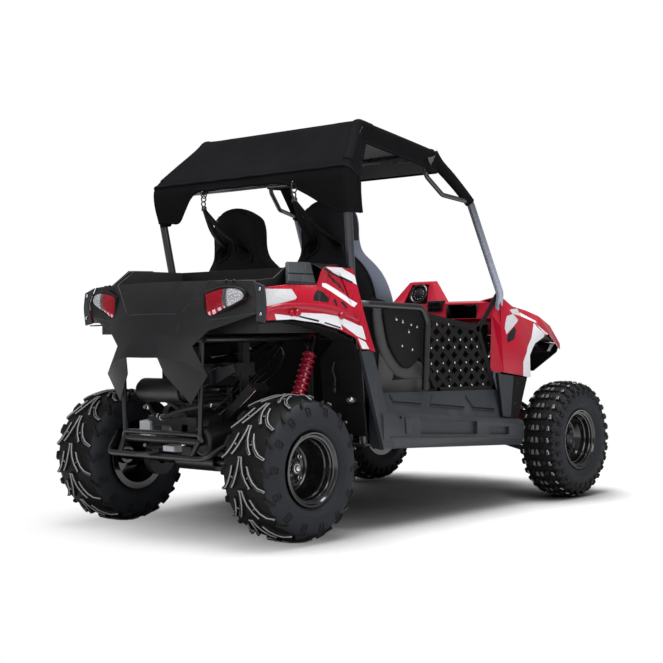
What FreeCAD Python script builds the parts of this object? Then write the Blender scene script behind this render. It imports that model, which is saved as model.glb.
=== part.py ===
import FreeCAD, Part
import math
import os

V = FreeCAD.Vector

# Small two-seat side by side utility vehicle.
# Millimetres. The nose points to -Y, the vehicle's left side is +X, the ground is z = 0 and
# y = 0 lies midway between the axles; the body hangs over both axles by the same length.

# Driving dimensions
WHEELBASE = 1580.0
OVERHANG = 270.0
ROOF_HEIGHT = 1450.0
FRONT_TRACK = 1050.0
REAR_TRACK = 860.0
FRONT_TYRE_OD = 480.0
FRONT_TYRE_WIDTH = 178.0
REAR_TYRE_OD = 490.0
REAR_TYRE_WIDTH = 230.0
FENDER_HALF_WIDTH = 500.0
SILL_HALF_WIDTH = 525.0
FLOOR_HEIGHT = 300.0
DECK_HEIGHT = 865.0
SEAT_OFFSET = 231.0

# Wheels
BEAD_RADIUS = 104.0
FLANGE_RADIUS = 124.0
RIM_WALL = 5.0
DISH_STEP = 22.0
FRONT_RIM_WIDTH = 146.0
REAR_RIM_WIDTH = 200.0
WEB_INSET = 12.0
HUB_RADIUS = 32.0
HUB_LENGTH = 46.0
SPINDLE_RADIUS = 12.5
AXLE_RADIUS = 17.5
RUNNING_FIT = 0.05
LUG_HEIGHT = 13.0
LUG_ROOT = 8.0
LUG_DRAFT = 2.0
SHOULDER_DROP = 24.0
TREAD_SHARE = 0.44
BEAD_EASE = 0.1
REAR_CASING_SIDES = 20
REAR_LUGS = 14
V_POINT = 30.0
V_HALF = 11.5
FRONT_LUGS = 30
BLOCK_INNER = 4.0
BLOCK_OUTER = 37.0
BLOCK_WIDE = 19.0
BLOCK_NARROW = 5.0

# Steering
KINGPIN_OFFSET = 95.0
KNUCKLE_HALF_HEIGHT = 56.0
KINGPIN_RADIUS = 8.0
STEER_ARM = 92.0
COLUMN_RADIUS = 21.0
SHAFT_RADIUS = 11.0
STEERING_WHEEL_RADIUS = 155.0

# Tubes and sheets
FRAME_TUBE = 13.0
CAGE_TUBE = 15.0
BAR_TUBE = 12.5
THIN_TUBE = 9.0
FRAME_BEND = 55.0
CAGE_BEND = 75.0
PLASTIC = 4.0
FABRIC = 3.0
STEEL_PLATE = 5.0
SEAT_GAP = 0.3

# Stations along the vehicle
FRONT_Y = -WHEELBASE / 2
REAR_Y = WHEELBASE / 2
FRONT_Z = FRONT_TYRE_OD / 2
REAR_Z = REAR_TYRE_OD / 2
FRONT_X = FRONT_TRACK / 2
REAR_X = REAR_TRACK / 2
KINGPIN_X = FRONT_X - KINGPIN_OFFSET
NOSE_Y = FRONT_Y - OVERHANG
TAIL_Y = REAR_Y + OVERHANG


def mirrored(shape):
    """The same shape on the other side of the vehicle."""
    return shape.mirror(V(0, 0, 0), V(1, 0, 0))


def both_sides(shape):
    """The shape and its mirror image, as one list of solids."""
    return [shape, mirrored(shape)]


def joined(shapes):
    """All shapes fused into one."""
    if len(shapes) == 1:
        return shapes[0]
    whole = shapes[0].multiFuse(shapes[1:])
    merged = whole.copy().removeSplitter()
    return merged if merged.isValid() else whole


def box(low, high):
    """A box between two opposite corners."""
    size = V(*high) - V(*low)
    return Part.makeBox(size.x, size.y, size.z, V(*low))


def bar(start, end, radius):
    """A straight round bar."""
    a, b = V(*start), V(*end)
    return Part.makeCylinder(radius, (b - a).Length, a, b - a)


def bent_path(points, bend):
    """Straight runs joined by tangent arcs of about the bend radius."""
    pts = [V(*p) for p in points]
    edges, start = [], pts[0]
    for before, corner, after in zip(pts, pts[1:], pts[2:]):
        into, away = (corner - before).normalize(), (after - corner).normalize()
        half = into.getAngle(away) / 2
        room = min((corner - before).Length, (after - corner).Length) * 0.45
        radius = min(bend, room / math.tan(half))
        cut = radius * math.tan(half)
        middle = corner + (away - into).normalize() * (radius / math.cos(half) - radius)
        first, last = corner - into * cut, corner + away * cut
        edges += [Part.LineSegment(start, first).toShape(), Part.Arc(first, middle, last).toShape()]
        start = last
    edges.append(Part.LineSegment(start, pts[-1]).toShape())
    return Part.Wire(edges)


def tube(points, radius, bend=FRAME_BEND):
    """A round bar bent along the points."""
    path = bent_path(points, bend)
    direction = V(*points[1]) - V(*points[0])
    ring = Part.Wire(Part.Circle(V(*points[0]), direction, radius).toShape())
    return path.makePipeShell([ring], True, False)


def prism(outline, axis, start, end):
    """An outline in the two other coordinates, extruded along one axis."""
    place = {"x": lambda a, b: V(start, a, b), "y": lambda a, b: V(a, start, b), "z": lambda a,
             b: V(a, b, start)}
    run = {"x": V(end - start, 0, 0), "y": V(0, end - start, 0), "z": V(0, 0, end - start)}
    corners = [place[axis](a, b) for a, b in outline]
    return Part.Face(Part.makePolygon(corners + corners[:1])).extrude(run[axis])


def flat_faces(ring):
    """One face for a flat ring of points, or a fan of triangles for a bent one."""
    normal = max(((ring[1] - ring[0]).cross(p - ring[0]) for p in ring[2:]),
                 key=lambda n: n.Length).normalize()
    bent = max(abs((p - ring[0]).dot(normal)) for p in ring)
    if bent < 1e-6:
        return [Part.Face(Part.makePolygon(ring + ring[:1]))]
    return [Part.Face(Part.makePolygon([ring[0], a, b, ring[0]])) for a, b in zip(ring[1:], ring[2:])]


def ruled(sections):
    """A solid with straight sides through closed polygons of like corner counts."""
    rings = [[V(*p) for p in section] for section in sections]
    faces = flat_faces(rings[0]) + flat_faces(rings[-1])
    count = len(rings[0])
    for near, far in zip(rings, rings[1:]):
        for i in range(count):
            k = (i + 1) % count
            faces += flat_faces([near[i], near[k], far[k], far[i]])
    solid = Part.Solid(Part.Shell(faces))
    if solid.Volume < 0:
        solid.reverse()
    return solid


def turned(profile, centre, axis=V(1, 0, 0)):
    """A ring turned about the X axis from (offset, radius) points."""
    corners = [V(centre[0] + a, centre[1], centre[2] + r) for a, r in profile]
    return Part.Face(Part.makePolygon(corners + corners[:1])).revolve(V(*centre), axis, 360)


def plates(points, faces, thickness):
    """A closed skin of flat plates: the faces are rings of point keys, counter-clockwise
    from outside, and the inner side lies one thickness behind them."""
    place = {key: V(*p) for key, p in points.items()}
    triangles = [(f[0], f[i], f[i + 1]) for f in faces for i in range(1, len(f) - 1)]
    normals = {key: V(0, 0, 0) for key in place}
    for a, b, c in triangles:
        across = (place[b] - place[a]).cross(place[c] - place[a])
        for key in (a, b, c):
            normals[key] = normals[key] + across
    inner = {key: place[key] - normals[key].normalize() * thickness
            for key in place if normals[key].Length > 0}
    edges = {(t[i], t[(i + 1) % 3]) for t in triangles for i in range(3)}
    solid_faces = [Part.Face(Part.makePolygon([place[k] for k in t + t[:1]])) for t in triangles]
    solid_faces += [Part.Face(Part.makePolygon([inner[k] for k in (t[0], t[2], t[1],
        t[0])])) for t in triangles]
    for a, b in edges:
        if (b, a) not in edges:
            for ring in ((place[a], inner[a], place[b]), (place[b], inner[a], inner[b])):
                solid_faces.append(Part.Face(Part.makePolygon(list(ring) + [ring[0]])))
    solid = Part.Solid(Part.Shell(solid_faces))
    if solid.Volume < 0:
        solid.reverse()
    return solid


def grid_panel(rows, thickness):
    """A closed skin over rows of points, seen from outside with rows going down
    and each row going to the right."""
    points = {(i, j): p for i, row in enumerate(rows) for j, p in enumerate(row)}
    faces = [
        ((i, j), (i + 1, j), (i + 1, j + 1), (i, j + 1))
        for i in range(len(rows) - 1)
        for j in range(len(rows[0]) - 1)
    ]
    return plates(points, faces, thickness)


def blend(a, b, t):
    """The point a share t of the way from a to b."""
    return tuple(p + (q - p) * t for p, q in zip(a, b))


def symmetric_skin(points, faces, thickness):
    """A closed skin from the points and faces given for x >= 0 and their mirror images;
    points on the middle plane are shared by both halves."""
    twin = {key: key + "_m" if p[0] > 0 else key for key, p in points.items()}
    all_points = {**points, **{twin[key]: (-x, y, z) for key, (x, y, z) in points.items()}}
    all_faces = faces + [tuple(twin[key] for key in reversed(face)) for face in faces]
    return plates(all_points, all_faces, thickness)


# Wheels and tyres

def crown(width, radius, offset):
    """Radius of the lug tips at an offset from the middle of the tread."""
    return radius - SHOULDER_DROP * (offset / (width * TREAD_SHARE)) ** 4


def casing_profile(width, radius, sides):
    """Outline of a balloon tyre without its lugs, as (offset, radius) points at its corners; the
    flats of its inner side clear the rim."""
    side = radius - FLANGE_RADIUS
    half = [(width * 0.33, (BEAD_RADIUS + BEAD_EASE) / math.cos(math.pi / sides)),
            (width * 0.49, FLANGE_RADIUS + side * 0.38),
            (width * 0.465, FLANGE_RADIUS + side * 0.68), (width * 0.21,
                                                           crown(width, radius, width * 0.21) - LUG_HEIGHT)]
    return half + [(-a, r) for a, r in reversed(half)]


def on_wheel(centre, offset, radius, angle):
    """Point beside a wheel's middle plane at a radius, with the angle going up from the rear."""
    return V(centre[0] + offset, centre[1] + radius * math.cos(angle), centre[2] + radius * math.sin(angle))


def casing(centre, profile, sides, start):
    """A many-sided ring with the profile at each corner."""
    turns = [start + 2 * math.pi * k / sides for k in range(sides)]
    rings = [[on_wheel(centre, a, r, turn) for a, r in profile] for turn in turns]
    faces = []
    for near, far in zip(rings, rings[1:] + rings[:1]):
        for i in range(len(profile)):
            k = (i + 1) % len(profile)
            faces += flat_faces([near[i], near[k], far[k], far[i]])
    solid = Part.Solid(Part.Shell(faces))
    if solid.Volume < 0:
        solid.reverse()
    return solid


def lug(centre, width, radius, stations, start):
    """One raised bar across the tread, through stations of (offset, distance round, half length)."""
    sections = []
    for offset, along, half in stations:
        top = crown(width, radius, offset)
        root = top - LUG_HEIGHT - LUG_ROOT
        angles = [start + (along + step) / radius for step in (-half, half, half - LUG_DRAFT,
                                                               LUG_DRAFT - half)]
        corners = zip((root, root, top, top), angles)
        sections.append([tuple(on_wheel(centre, offset, r, a)) for r, a in corners])
    return ruled(sections)


def tyre(centre, width, radius, count, sides, bars):
    """A casing with its lugs fused on: the bars of one pitch, repeated round the tread. One tip
    of the first bar stands straight down."""
    along, half = max(station[1:] for bar_stations in bars for station in bar_stations)
    start = -math.pi / 2 - (along + half - LUG_DRAFT) / radius
    lugs = [lug(centre, width, radius, stations, start + 2 * math.pi * k / count) for k in range(count)
            for stations in bars]
    first_corner = start + math.pi / sides
    return joined([casing(centre, casing_profile(width, radius, sides), sides, first_corner)] + lugs)


def rear_bars():
    """The V-shaped lug of the rear tread, its point up at the back of the wheel."""
    leg = [(0.27 * REAR_TYRE_WIDTH, V_POINT - 0.21 * REAR_TYRE_WIDTH, V_HALF),
           (0.45 * REAR_TYRE_WIDTH, V_POINT - 0.32 * REAR_TYRE_WIDTH, V_HALF)]
    return [[(-a, t, h) for a, t, h in reversed(leg)] + [(0.0, V_POINT, V_HALF)] + leg]


def front_bars():
    """The pair of three-cornered blocks of the front tread."""
    block = [(BLOCK_INNER, 0.0, BLOCK_WIDE), (BLOCK_OUTER, -BLOCK_NARROW, BLOCK_NARROW)]
    return [block, [(-a, t, h) for a, t, h in block]]


def rim(centre, rim_width, outboard, bore):
    """A deep-dish pressed rim with its hub; outboard is +1 or -1 along X."""
    half = rim_width / 2
    web = -WEB_INSET
    profile = [
        (half, FLANGE_RADIUS), (half - RIM_WALL, BEAD_RADIUS - RIM_WALL),
            (half - DISH_STEP, BEAD_RADIUS - RIM_WALL),
        (half - DISH_STEP - RIM_WALL, BEAD_RADIUS - 2 * RIM_WALL),
            (web + 3 * RIM_WALL, BEAD_RADIUS - 3 * RIM_WALL),
        (web + RIM_WALL, BEAD_RADIUS - 5 * RIM_WALL), (web + RIM_WALL, HUB_RADIUS + RIM_WALL),
        (web + 3 * RIM_WALL, HUB_RADIUS), (web + HUB_LENGTH / 2, HUB_RADIUS), (web + HUB_LENGTH / 2, bore),
        (web - HUB_LENGTH / 2, bore), (web - HUB_LENGTH / 2, HUB_RADIUS), (web, HUB_RADIUS),
        (web, BEAD_RADIUS - 5 * RIM_WALL), (-half, BEAD_RADIUS - RIM_WALL), (-half, FLANGE_RADIUS),
        (-half + RIM_WALL, FLANGE_RADIUS), (-half + RIM_WALL, BEAD_RADIUS), (half - RIM_WALL, BEAD_RADIUS),
        (half - RIM_WALL, FLANGE_RADIUS),
    ]
    return turned([(outboard * a, r) for a, r in profile], centre)


def front_wheel(side):
    """Rim and tyre of one front wheel; side is +1 on the vehicle's left."""
    centre = (side * FRONT_X, FRONT_Y, FRONT_Z)
    carcass = tyre(centre, FRONT_TYRE_WIDTH, FRONT_TYRE_OD / 2, FRONT_LUGS, FRONT_LUGS, front_bars())
    return rim(centre, FRONT_RIM_WIDTH, side, SPINDLE_RADIUS + RUNNING_FIT), carcass


def rear_wheel(side):
    """Rim and tyre of one rear wheel, clamped on the axle."""
    centre = (side * REAR_X, REAR_Y, REAR_Z)
    carcass = tyre(centre, REAR_TYRE_WIDTH, REAR_TYRE_OD / 2, REAR_LUGS, REAR_CASING_SIDES, rear_bars())
    return rim(centre, REAR_RIM_WIDTH, side, AXLE_RADIUS), carcass


BRAKE_DISC_X = 235.0
BRAKE_DISC_RADIUS = 84.0
NUT_RADIUS = 21.0
NUT_LENGTH = 18.0


def rear_axle():
    """Solid rear axle with its end nuts and the brake disc."""
    hub_end = REAR_X - WEB_INSET + HUB_LENGTH / 2
    parts = [bar((-hub_end, REAR_Y, REAR_Z), (hub_end, REAR_Y, REAR_Z), AXLE_RADIUS)]
    for side in (1, -1):
        nut_end = side * (hub_end + NUT_LENGTH)
        parts.append(bar((side * hub_end, REAR_Y, REAR_Z), (nut_end, REAR_Y, REAR_Z), NUT_RADIUS))
    disc_end = -BRAKE_DISC_X - STEEL_PLATE
    parts.append(bar((-BRAKE_DISC_X, REAR_Y, REAR_Z), (disc_end, REAR_Y, REAR_Z), BRAKE_DISC_RADIUS))
    carrier = -BRAKE_DISC_X + 3 * STEEL_PLATE
    parts.append(bar((-BRAKE_DISC_X, REAR_Y, REAR_Z), (carrier, REAR_Y, REAR_Z), 2 * AXLE_RADIUS))
    return joined(parts)


# Steering and front suspension

STEER_ARM_Z = FRONT_Z + 38.0
ROD_END_RADIUS = 9.0
PIN_REACH = 5.7
ROD_RADIUS = 6.0
ROD_CLEARANCE = 6.0
ARM_PLATE = 10.0
RACK_TUBE = 17.0
RACK_HALF = 150.0
RACK_BAR = 8.0
RACK_TRAVEL_ROOM = 60.0


def knuckle(side):
    """Upright with its kingpin eyes, stub axle and rearward steering arm."""
    x = side * KINGPIN_X
    low, high = FRONT_Z - KNUCKLE_HALF_HEIGHT, FRONT_Z + KNUCKLE_HALF_HEIGHT
    stub_end = side * (FRONT_X - WEB_INSET + HUB_LENGTH / 2 + NUT_LENGTH)
    inner_face = side * (FRONT_X - WEB_INSET - HUB_LENGTH / 2 - 1)
    parts = [
        bar((x, FRONT_Y, low), (x, FRONT_Y, high), 16),
        bar((x, FRONT_Y, low - PIN_REACH), (x, FRONT_Y, high + PIN_REACH), KINGPIN_RADIUS),
        bar((x, FRONT_Y, FRONT_Z), (inner_face, FRONT_Y, FRONT_Z), 26),
        bar((x, FRONT_Y, FRONT_Z), (stub_end, FRONT_Y, FRONT_Z), SPINDLE_RADIUS),
    ]
    arm = [(x - 14, FRONT_Y), (x + 14, FRONT_Y), (x + 11, FRONT_Y + STEER_ARM),
           (x - 11, FRONT_Y + STEER_ARM)]
    parts.append(prism(arm, "z", STEER_ARM_Z - ARM_PLATE / 2, STEER_ARM_Z + ARM_PLATE / 2))
    parts.append(bar((x, FRONT_Y + STEER_ARM, STEER_ARM_Z - ARM_PLATE / 2),
                     (x, FRONT_Y + STEER_ARM, STEER_ARM_Z + ARM_PLATE / 2), 13))
    return joined(parts)


ROD_Z = STEER_ARM_Z + ARM_PLATE / 2 + ROD_CLEARANCE + ROD_END_RADIUS
ROD_Y = FRONT_Y + STEER_ARM


RACK_MOUNT_X = 100.0
PINION_X = 8.0
WHEEL_CENTRE = (SEAT_OFFSET, -205.0, 800.0)
COLUMN_FOOT = (PINION_X, ROD_Y + 8, ROD_Z + 50)


def rack_housing():
    """Tube that guides the rack bar across the frame, with its pinion box."""
    outer = joined([
        bar((-RACK_HALF, ROD_Y, ROD_Z), (RACK_HALF, ROD_Y, ROD_Z), RACK_TUBE),
        box((PINION_X - 30, ROD_Y - 24, ROD_Z - 24), (PINION_X + 30, ROD_Y + 24, ROD_Z + 24)),
        bar((PINION_X, COLUMN_FOOT[1], ROD_Z + 10), (PINION_X, COLUMN_FOOT[1], ROD_Z + 44), 15),
        bar((-RACK_MOUNT_X, ROD_Y, ROD_Z - 26), (-RACK_MOUNT_X, ROD_Y, ROD_Z + 26), 13),
    ])
    bore = bar((-RACK_HALF - 1, ROD_Y, ROD_Z), (RACK_HALF + 1, ROD_Y, ROD_Z), RACK_BAR + RUNNING_FIT)
    return outer.cut(bore)


def rack_bar():
    """Sliding rack with a tie rod and rod end at each side."""
    joint, ball = RACK_HALF + RACK_TRAVEL_ROOM, 2 * ROD_RADIUS
    half = [(joint - ball, RACK_BAR), (joint - RACK_BAR, ball), (joint + RACK_BAR, ball),
            (joint + ball, ROD_RADIUS),
            (KINGPIN_X, ROD_RADIUS), (KINGPIN_X, 0)]
    rod = turned([(-a, r) for a, r in reversed(half)] + half, (0, ROD_Y, ROD_Z))
    ends = [bar((side * KINGPIN_X, ROD_Y, ROD_Z - ROD_END_RADIUS),
                (side * KINGPIN_X, ROD_Y, ROD_Z + ROD_END_RADIUS), ball)
            for side in (1, -1)]
    return joined([rod] + ends)


COLUMN_TOP_SHARE = 0.17
COLUMN_FOOT_SHARE = 0.72
SPOKE_WIDTH = 26.0


def column_axis():
    """Direction of the steering column, from its foot up to the wheel."""
    return (V(*WHEEL_CENTRE) - V(*COLUMN_FOOT)).normalize()


def steering_wheel():
    """Three-spoke wheel with its shaft inside the column."""
    centre, up = V(*WHEEL_CENTRE), column_axis()
    level = V(0, 0, 1).cross(up).normalize()
    ring = Part.makeTorus(STEERING_WHEEL_RADIUS, 14, centre, up)
    parts = [ring, Part.makeCylinder(34, 20, centre - up * 20, up)]
    for turn in (0, 180, 270):
        spoke = Part.makeBox(STEERING_WHEEL_RADIUS, SPOKE_WIDTH, 6, V(0, -SPOKE_WIDTH / 2, -16))
        across = FreeCAD.Rotation(level, up.cross(level), up, "ZXY")
        spin = FreeCAD.Rotation(up, turn)
        spoke.Placement = FreeCAD.Placement(centre, spin.multiply(across))
        parts.append(spoke)
    shaft_end = V(*blend(WHEEL_CENTRE, COLUMN_FOOT, 0.98))
    parts.append(bar(tuple(centre - up * 10), tuple(shaft_end), SHAFT_RADIUS))
    return joined(parts)


def steering_column():
    """Column tube with its dash bracket."""
    top = blend(WHEEL_CENTRE, COLUMN_FOOT, COLUMN_TOP_SHARE)
    foot = blend(WHEEL_CENTRE, COLUMN_FOOT, COLUMN_FOOT_SHARE)
    over = blend(WHEEL_CENTRE, COLUMN_FOOT, COLUMN_TOP_SHARE - 0.02)
    under = blend(WHEEL_CENTRE, COLUMN_FOOT, COLUMN_FOOT_SHARE + 0.02)
    middle = blend(WHEEL_CENTRE, COLUMN_FOOT, 0.48)
    bracket = box((middle[0] - 20, middle[1] - 6, middle[2]), (middle[0] + 20, middle[1] + 6, 760))
    return joined([bar(top, foot, COLUMN_RADIUS), bracket]).cut(bar(over, under, SHAFT_RADIUS + RUNNING_FIT))


ARM_TUBE = 11.0
CROSS_TUBE = 9.0
NOSE_RAIL_X = 108.0
ARM_BUSH = 15.0
ARM_PIVOT_X = NOSE_RAIL_X + FRAME_TUBE + ARM_BUSH
ARM_PIVOT_SPREAD = 125.0
LOWER_ARM_DROP = 76.0
UPPER_ARM_RISE = 76.0
PIVOT_LOW_Z = 262.0
PIVOT_HIGH_Z = 420.0
SHOCK_FOOT = 0.72
TOWER_X = 190.0
TOWER_Z = 640.0


def front_arms(side):
    """Lower and upper wishbones of one front wheel."""
    parts = []
    levels = ((PIVOT_LOW_Z, FRONT_Z - LOWER_ARM_DROP), (PIVOT_HIGH_Z, FRONT_Z + UPPER_ARM_RISE))
    for pivot_z, joint_z in levels:
        joint = (side * KINGPIN_X, FRONT_Y, joint_z)
        wish = []
        for fore_aft in (1, -1):
            pivot = (side * ARM_PIVOT_X, FRONT_Y + fore_aft * ARM_PIVOT_SPREAD, pivot_z)
            wish.append(bar(pivot, joint, ARM_TUBE))
            wish.append(bar((pivot[0], pivot[1] - 22, pivot_z), (pivot[0], pivot[1] + 22, pivot_z),
                            ARM_BUSH))
        if joint_z < FRONT_Z:
            seat = blend((side * ARM_PIVOT_X, FRONT_Y, pivot_z), joint, SHOCK_FOOT)
            spread = ARM_PIVOT_SPREAD * (1 - SHOCK_FOOT)
            wish.append(bar((seat[0], FRONT_Y - spread, seat[2]), (seat[0], FRONT_Y + spread, seat[2]),
                            CROSS_TUBE))
        wish.append(bar((joint[0], FRONT_Y, joint_z - 12), (joint[0], FRONT_Y, joint_z + 12), 17))
        parts.append(joined(wish))
    return Part.makeCompound(parts)


SPRING_RADIUS = 27.0
SPRING_WIRE = 5.0
DAMPER_RADIUS = 13.0
EYE_RADIUS = 13.0
EYE_HALF = 12.0


def coil(start, end, turns):
    """A closed spring sleeve with ridges, one ring for each turn."""
    a, b = V(*start), V(*end)
    along = (b - a).normalize()
    rings = [Part.makeCylinder(SPRING_RADIUS - 1.5 * SPRING_WIRE, (b - a).Length, a, along)]
    for i in range(turns):
        centre = a + along * ((b - a).Length * (i + 0.5) / turns)
        rings.append(Part.makeTorus(SPRING_RADIUS - SPRING_WIRE, SPRING_WIRE, centre, along))
    return joined(rings)


def shock(foot, head, turns):
    """Damper with its spring and two end eyes."""
    low, high = blend(foot, head, 0.2), blend(foot, head, 0.86)
    eyes = [bar((p[0], p[1] - EYE_HALF, p[2]), (p[0], p[1] + EYE_HALF, p[2]), EYE_RADIUS) for p in (foot,
        head)]
    return joined([bar(foot, head, DAMPER_RADIUS), coil(low, high, turns)] + eyes)


def front_shock(side):
    """Coil-over from the lower wishbone to the tower."""
    pivot = (side * ARM_PIVOT_X, FRONT_Y, PIVOT_LOW_Z)
    joint = (side * KINGPIN_X, FRONT_Y, FRONT_Z - LOWER_ARM_DROP)
    foot = blend(pivot, joint, SHOCK_FOOT)
    return shock((foot[0], FRONT_Y, foot[2] + CROSS_TUBE + EYE_RADIUS), (side * TOWER_X, FRONT_Y, TOWER_Z),
                 8)


# Frame

RAIL_X = 190.0
TOWER_SPREAD = EYE_HALF + THIN_TUBE
OUTER_RAIL_X = 440.0
CRADLE_Z = FLOOR_HEIGHT + 30.0
CABIN_FRONT_Y = FRONT_Y + 290.0
CABIN_REAR_Y = REAR_Y - 370.0
NOSE_RAIL_Z = 262.0
NOSE_TOP_Z = 505.0
TAIL_RAIL_Y = TAIL_Y - 90.0
DECK_RAIL_Z = 672.0
DECK_RAIL_X = 210.0
SWING_PIVOT_Y = CABIN_REAR_Y + 62.0


def frame(grow=0.0):
    """Welded tube frame: floor, front box and rear cradle; grow makes every tube thicker."""
    floor, front_end = FLOOR_HEIGHT, NOSE_Y + 75
    main, thin = FRAME_TUBE + grow, THIN_TUBE + grow
    side = [
        bar((NOSE_RAIL_X, FRONT_Y + ARM_PIVOT_SPREAD, NOSE_RAIL_Z),
            (NOSE_RAIL_X, FRONT_Y + ARM_PIVOT_SPREAD, NOSE_TOP_Z), main),
        bar((NOSE_RAIL_X, FRONT_Y - ARM_PIVOT_SPREAD, NOSE_RAIL_Z),
            (NOSE_RAIL_X, FRONT_Y - ARM_PIVOT_SPREAD, NOSE_TOP_Z), main),
        bar((OUTER_RAIL_X, CABIN_FRONT_Y, floor), (OUTER_RAIL_X, CABIN_REAR_Y + 10, floor), main),
        tube([(NOSE_RAIL_X, front_end, NOSE_RAIL_Z), (NOSE_RAIL_X, CABIN_FRONT_Y - 60, NOSE_RAIL_Z),
              (RAIL_X, CABIN_FRONT_Y + 40, floor), (RAIL_X, CABIN_REAR_Y + 20, floor),
              (RAIL_X, CABIN_REAR_Y + 120, CRADLE_Z), (RAIL_X, TAIL_RAIL_Y, CRADLE_Z)], main),
        tube([(NOSE_RAIL_X, front_end, NOSE_RAIL_Z - 5), (NOSE_RAIL_X, front_end, NOSE_TOP_Z),
              (NOSE_RAIL_X, CABIN_FRONT_Y - 60, NOSE_TOP_Z), (NOSE_RAIL_X + 30, CABIN_FRONT_Y - 10, floor)],
             main),
        bar((NOSE_RAIL_X, FRONT_Y + TOWER_SPREAD, NOSE_TOP_Z), (TOWER_X, FRONT_Y + TOWER_SPREAD,
                                                                TOWER_Z + 12), thin),
        bar((NOSE_RAIL_X, FRONT_Y - TOWER_SPREAD, NOSE_TOP_Z), (TOWER_X, FRONT_Y - TOWER_SPREAD,
                                                                TOWER_Z + 12), thin),
        tube([(DECK_RAIL_X, CABIN_REAR_Y + 10, floor), (DECK_RAIL_X, CABIN_REAR_Y + 20, DECK_RAIL_Z),
              (DECK_RAIL_X, TAIL_RAIL_Y, DECK_RAIL_Z)], main),
        bar((DECK_RAIL_X - 8, TAIL_RAIL_Y, DECK_RAIL_Z), (RAIL_X, TAIL_RAIL_Y, CRADLE_Z), thin),
    ]
    across = []
    for y in (CABIN_FRONT_Y + 40, 0, CABIN_REAR_Y):
        across.append(bar((-OUTER_RAIL_X, y, floor), (OUTER_RAIL_X, y, floor), main - 1))
    for y, z, half in ((front_end, NOSE_RAIL_Z, NOSE_RAIL_X), (front_end, NOSE_TOP_Z, NOSE_RAIL_X),
                       (TAIL_RAIL_Y, DECK_RAIL_Z, DECK_RAIL_X),
                       (CABIN_REAR_Y + 20, DECK_RAIL_Z, OUTER_RAIL_X), (TAIL_RAIL_Y, CRADLE_Z, RAIL_X)):
        across.append(bar((-half, y, z), (half, y, z), main - 1))
    for y in (REAR_Y - 60, REAR_Y + 5):
        across.append(bar((-RAIL_X, y, CRADLE_Z), (RAIL_X, y, CRADLE_Z), main - 1))
    for y in (FRONT_Y + TOWER_SPREAD, FRONT_Y - TOWER_SPREAD):
        across.append(bar((-TOWER_X, y, TOWER_Z + 6), (TOWER_X, y, TOWER_Z + 6), thin))
    return joined(side + [mirrored(s) for s in side] + across)


# Roll cage, bars and canopy

ROOF_REAR = (386.0, REAR_Y - 420.0, ROOF_HEIGHT - CAGE_TUBE - FABRIC - SEAT_GAP)
ROOF_FRONT = (400.0, FRONT_Y + 740.0, ROOF_HEIGHT - 88.0)
HOOP_BEND = (482.0, REAR_Y - 235.0, ROOF_HEIGHT - 200.0)
HOOP_FOOT = (455.0, REAR_Y - 290.0, DECK_HEIGHT + 35.0)
HOOP_BASE = (OUTER_RAIL_X, CABIN_REAR_Y, FLOOR_HEIGHT)
PILLAR_BEND = (455.0, FRONT_Y + 571.0, ROOF_HEIGHT - 260.0)
PILLAR_FOOT = (485.0, FRONT_Y + 414.0, 838.0)
PILLAR_BASE = (OUTER_RAIL_X, CABIN_FRONT_Y + 90, FLOOR_HEIGHT)


def cage_side(grow):
    """One side hoop of the cage, from the front of the floor over the roof to the rear."""
    knee = (PILLAR_FOOT[0] - 30, PILLAR_FOOT[1] - 22, PILLAR_FOOT[2] - 120)
    return tube([PILLAR_BASE, knee, PILLAR_FOOT, PILLAR_BEND, ROOF_FRONT, ROOF_REAR, HOOP_BEND, HOOP_FOOT,
                 HOOP_BASE],
                CAGE_TUBE + grow, CAGE_BEND)


def corner_brace(grow):
    """Bent brace between the roof rail and the front pillar."""
    start = blend(ROOF_FRONT, ROOF_REAR, 0.12)
    drop = (start[0] + 6, start[1] - 5, start[2] - 92)
    knee = (start[0] + 27, start[1] - 80, start[2] - 160)
    return tube([start, drop, knee, PILLAR_BEND], THIN_TUBE + grow, 30)


def roll_cage(grow=0.0):
    """Both side hoops with their cross bars and corner braces; grow makes every tube thicker."""
    across = [bar((-p[0], p[1], p[2]), p, CAGE_TUBE - 1 + grow) for p in (ROOF_FRONT, ROOF_REAR)]
    rear = (HOOP_BEND[0] - 2, HOOP_BEND[1] - 4, HOOP_BEND[2] - 22)
    across.append(bar((-rear[0], rear[1], rear[2]), rear, CAGE_TUBE - 1 + grow))
    return joined(both_sides(cage_side(grow)) + both_sides(corner_brace(grow)) + across)


BAR_HEIGHT = 778.0
BAR_X = 492.0


def side_bar():
    """Low bar that closes the doorway beside the seat."""
    start = blend(HOOP_FOOT, HOOP_BASE, 0.18)
    return tube([(start[0] + 4, start[1], start[2]), (BAR_X - 8, start[1] - 45, BAR_HEIGHT + 10),
                 (BAR_X, CABIN_REAR_Y - 275, BAR_HEIGHT), (BAR_X, CABIN_REAR_Y - 307, BAR_HEIGHT - 52),
                 (BAR_X - 6, CABIN_REAR_Y - 296, SILL_TOP_REAR)], BAR_TUBE, 40)


CANOPY_SAG = 10.0
SIDE_DROP = 62.0
HEM_DROP = 30.0
VALANCE_DROP = 74.0
SLEEVE_DROP = 140.0


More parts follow.
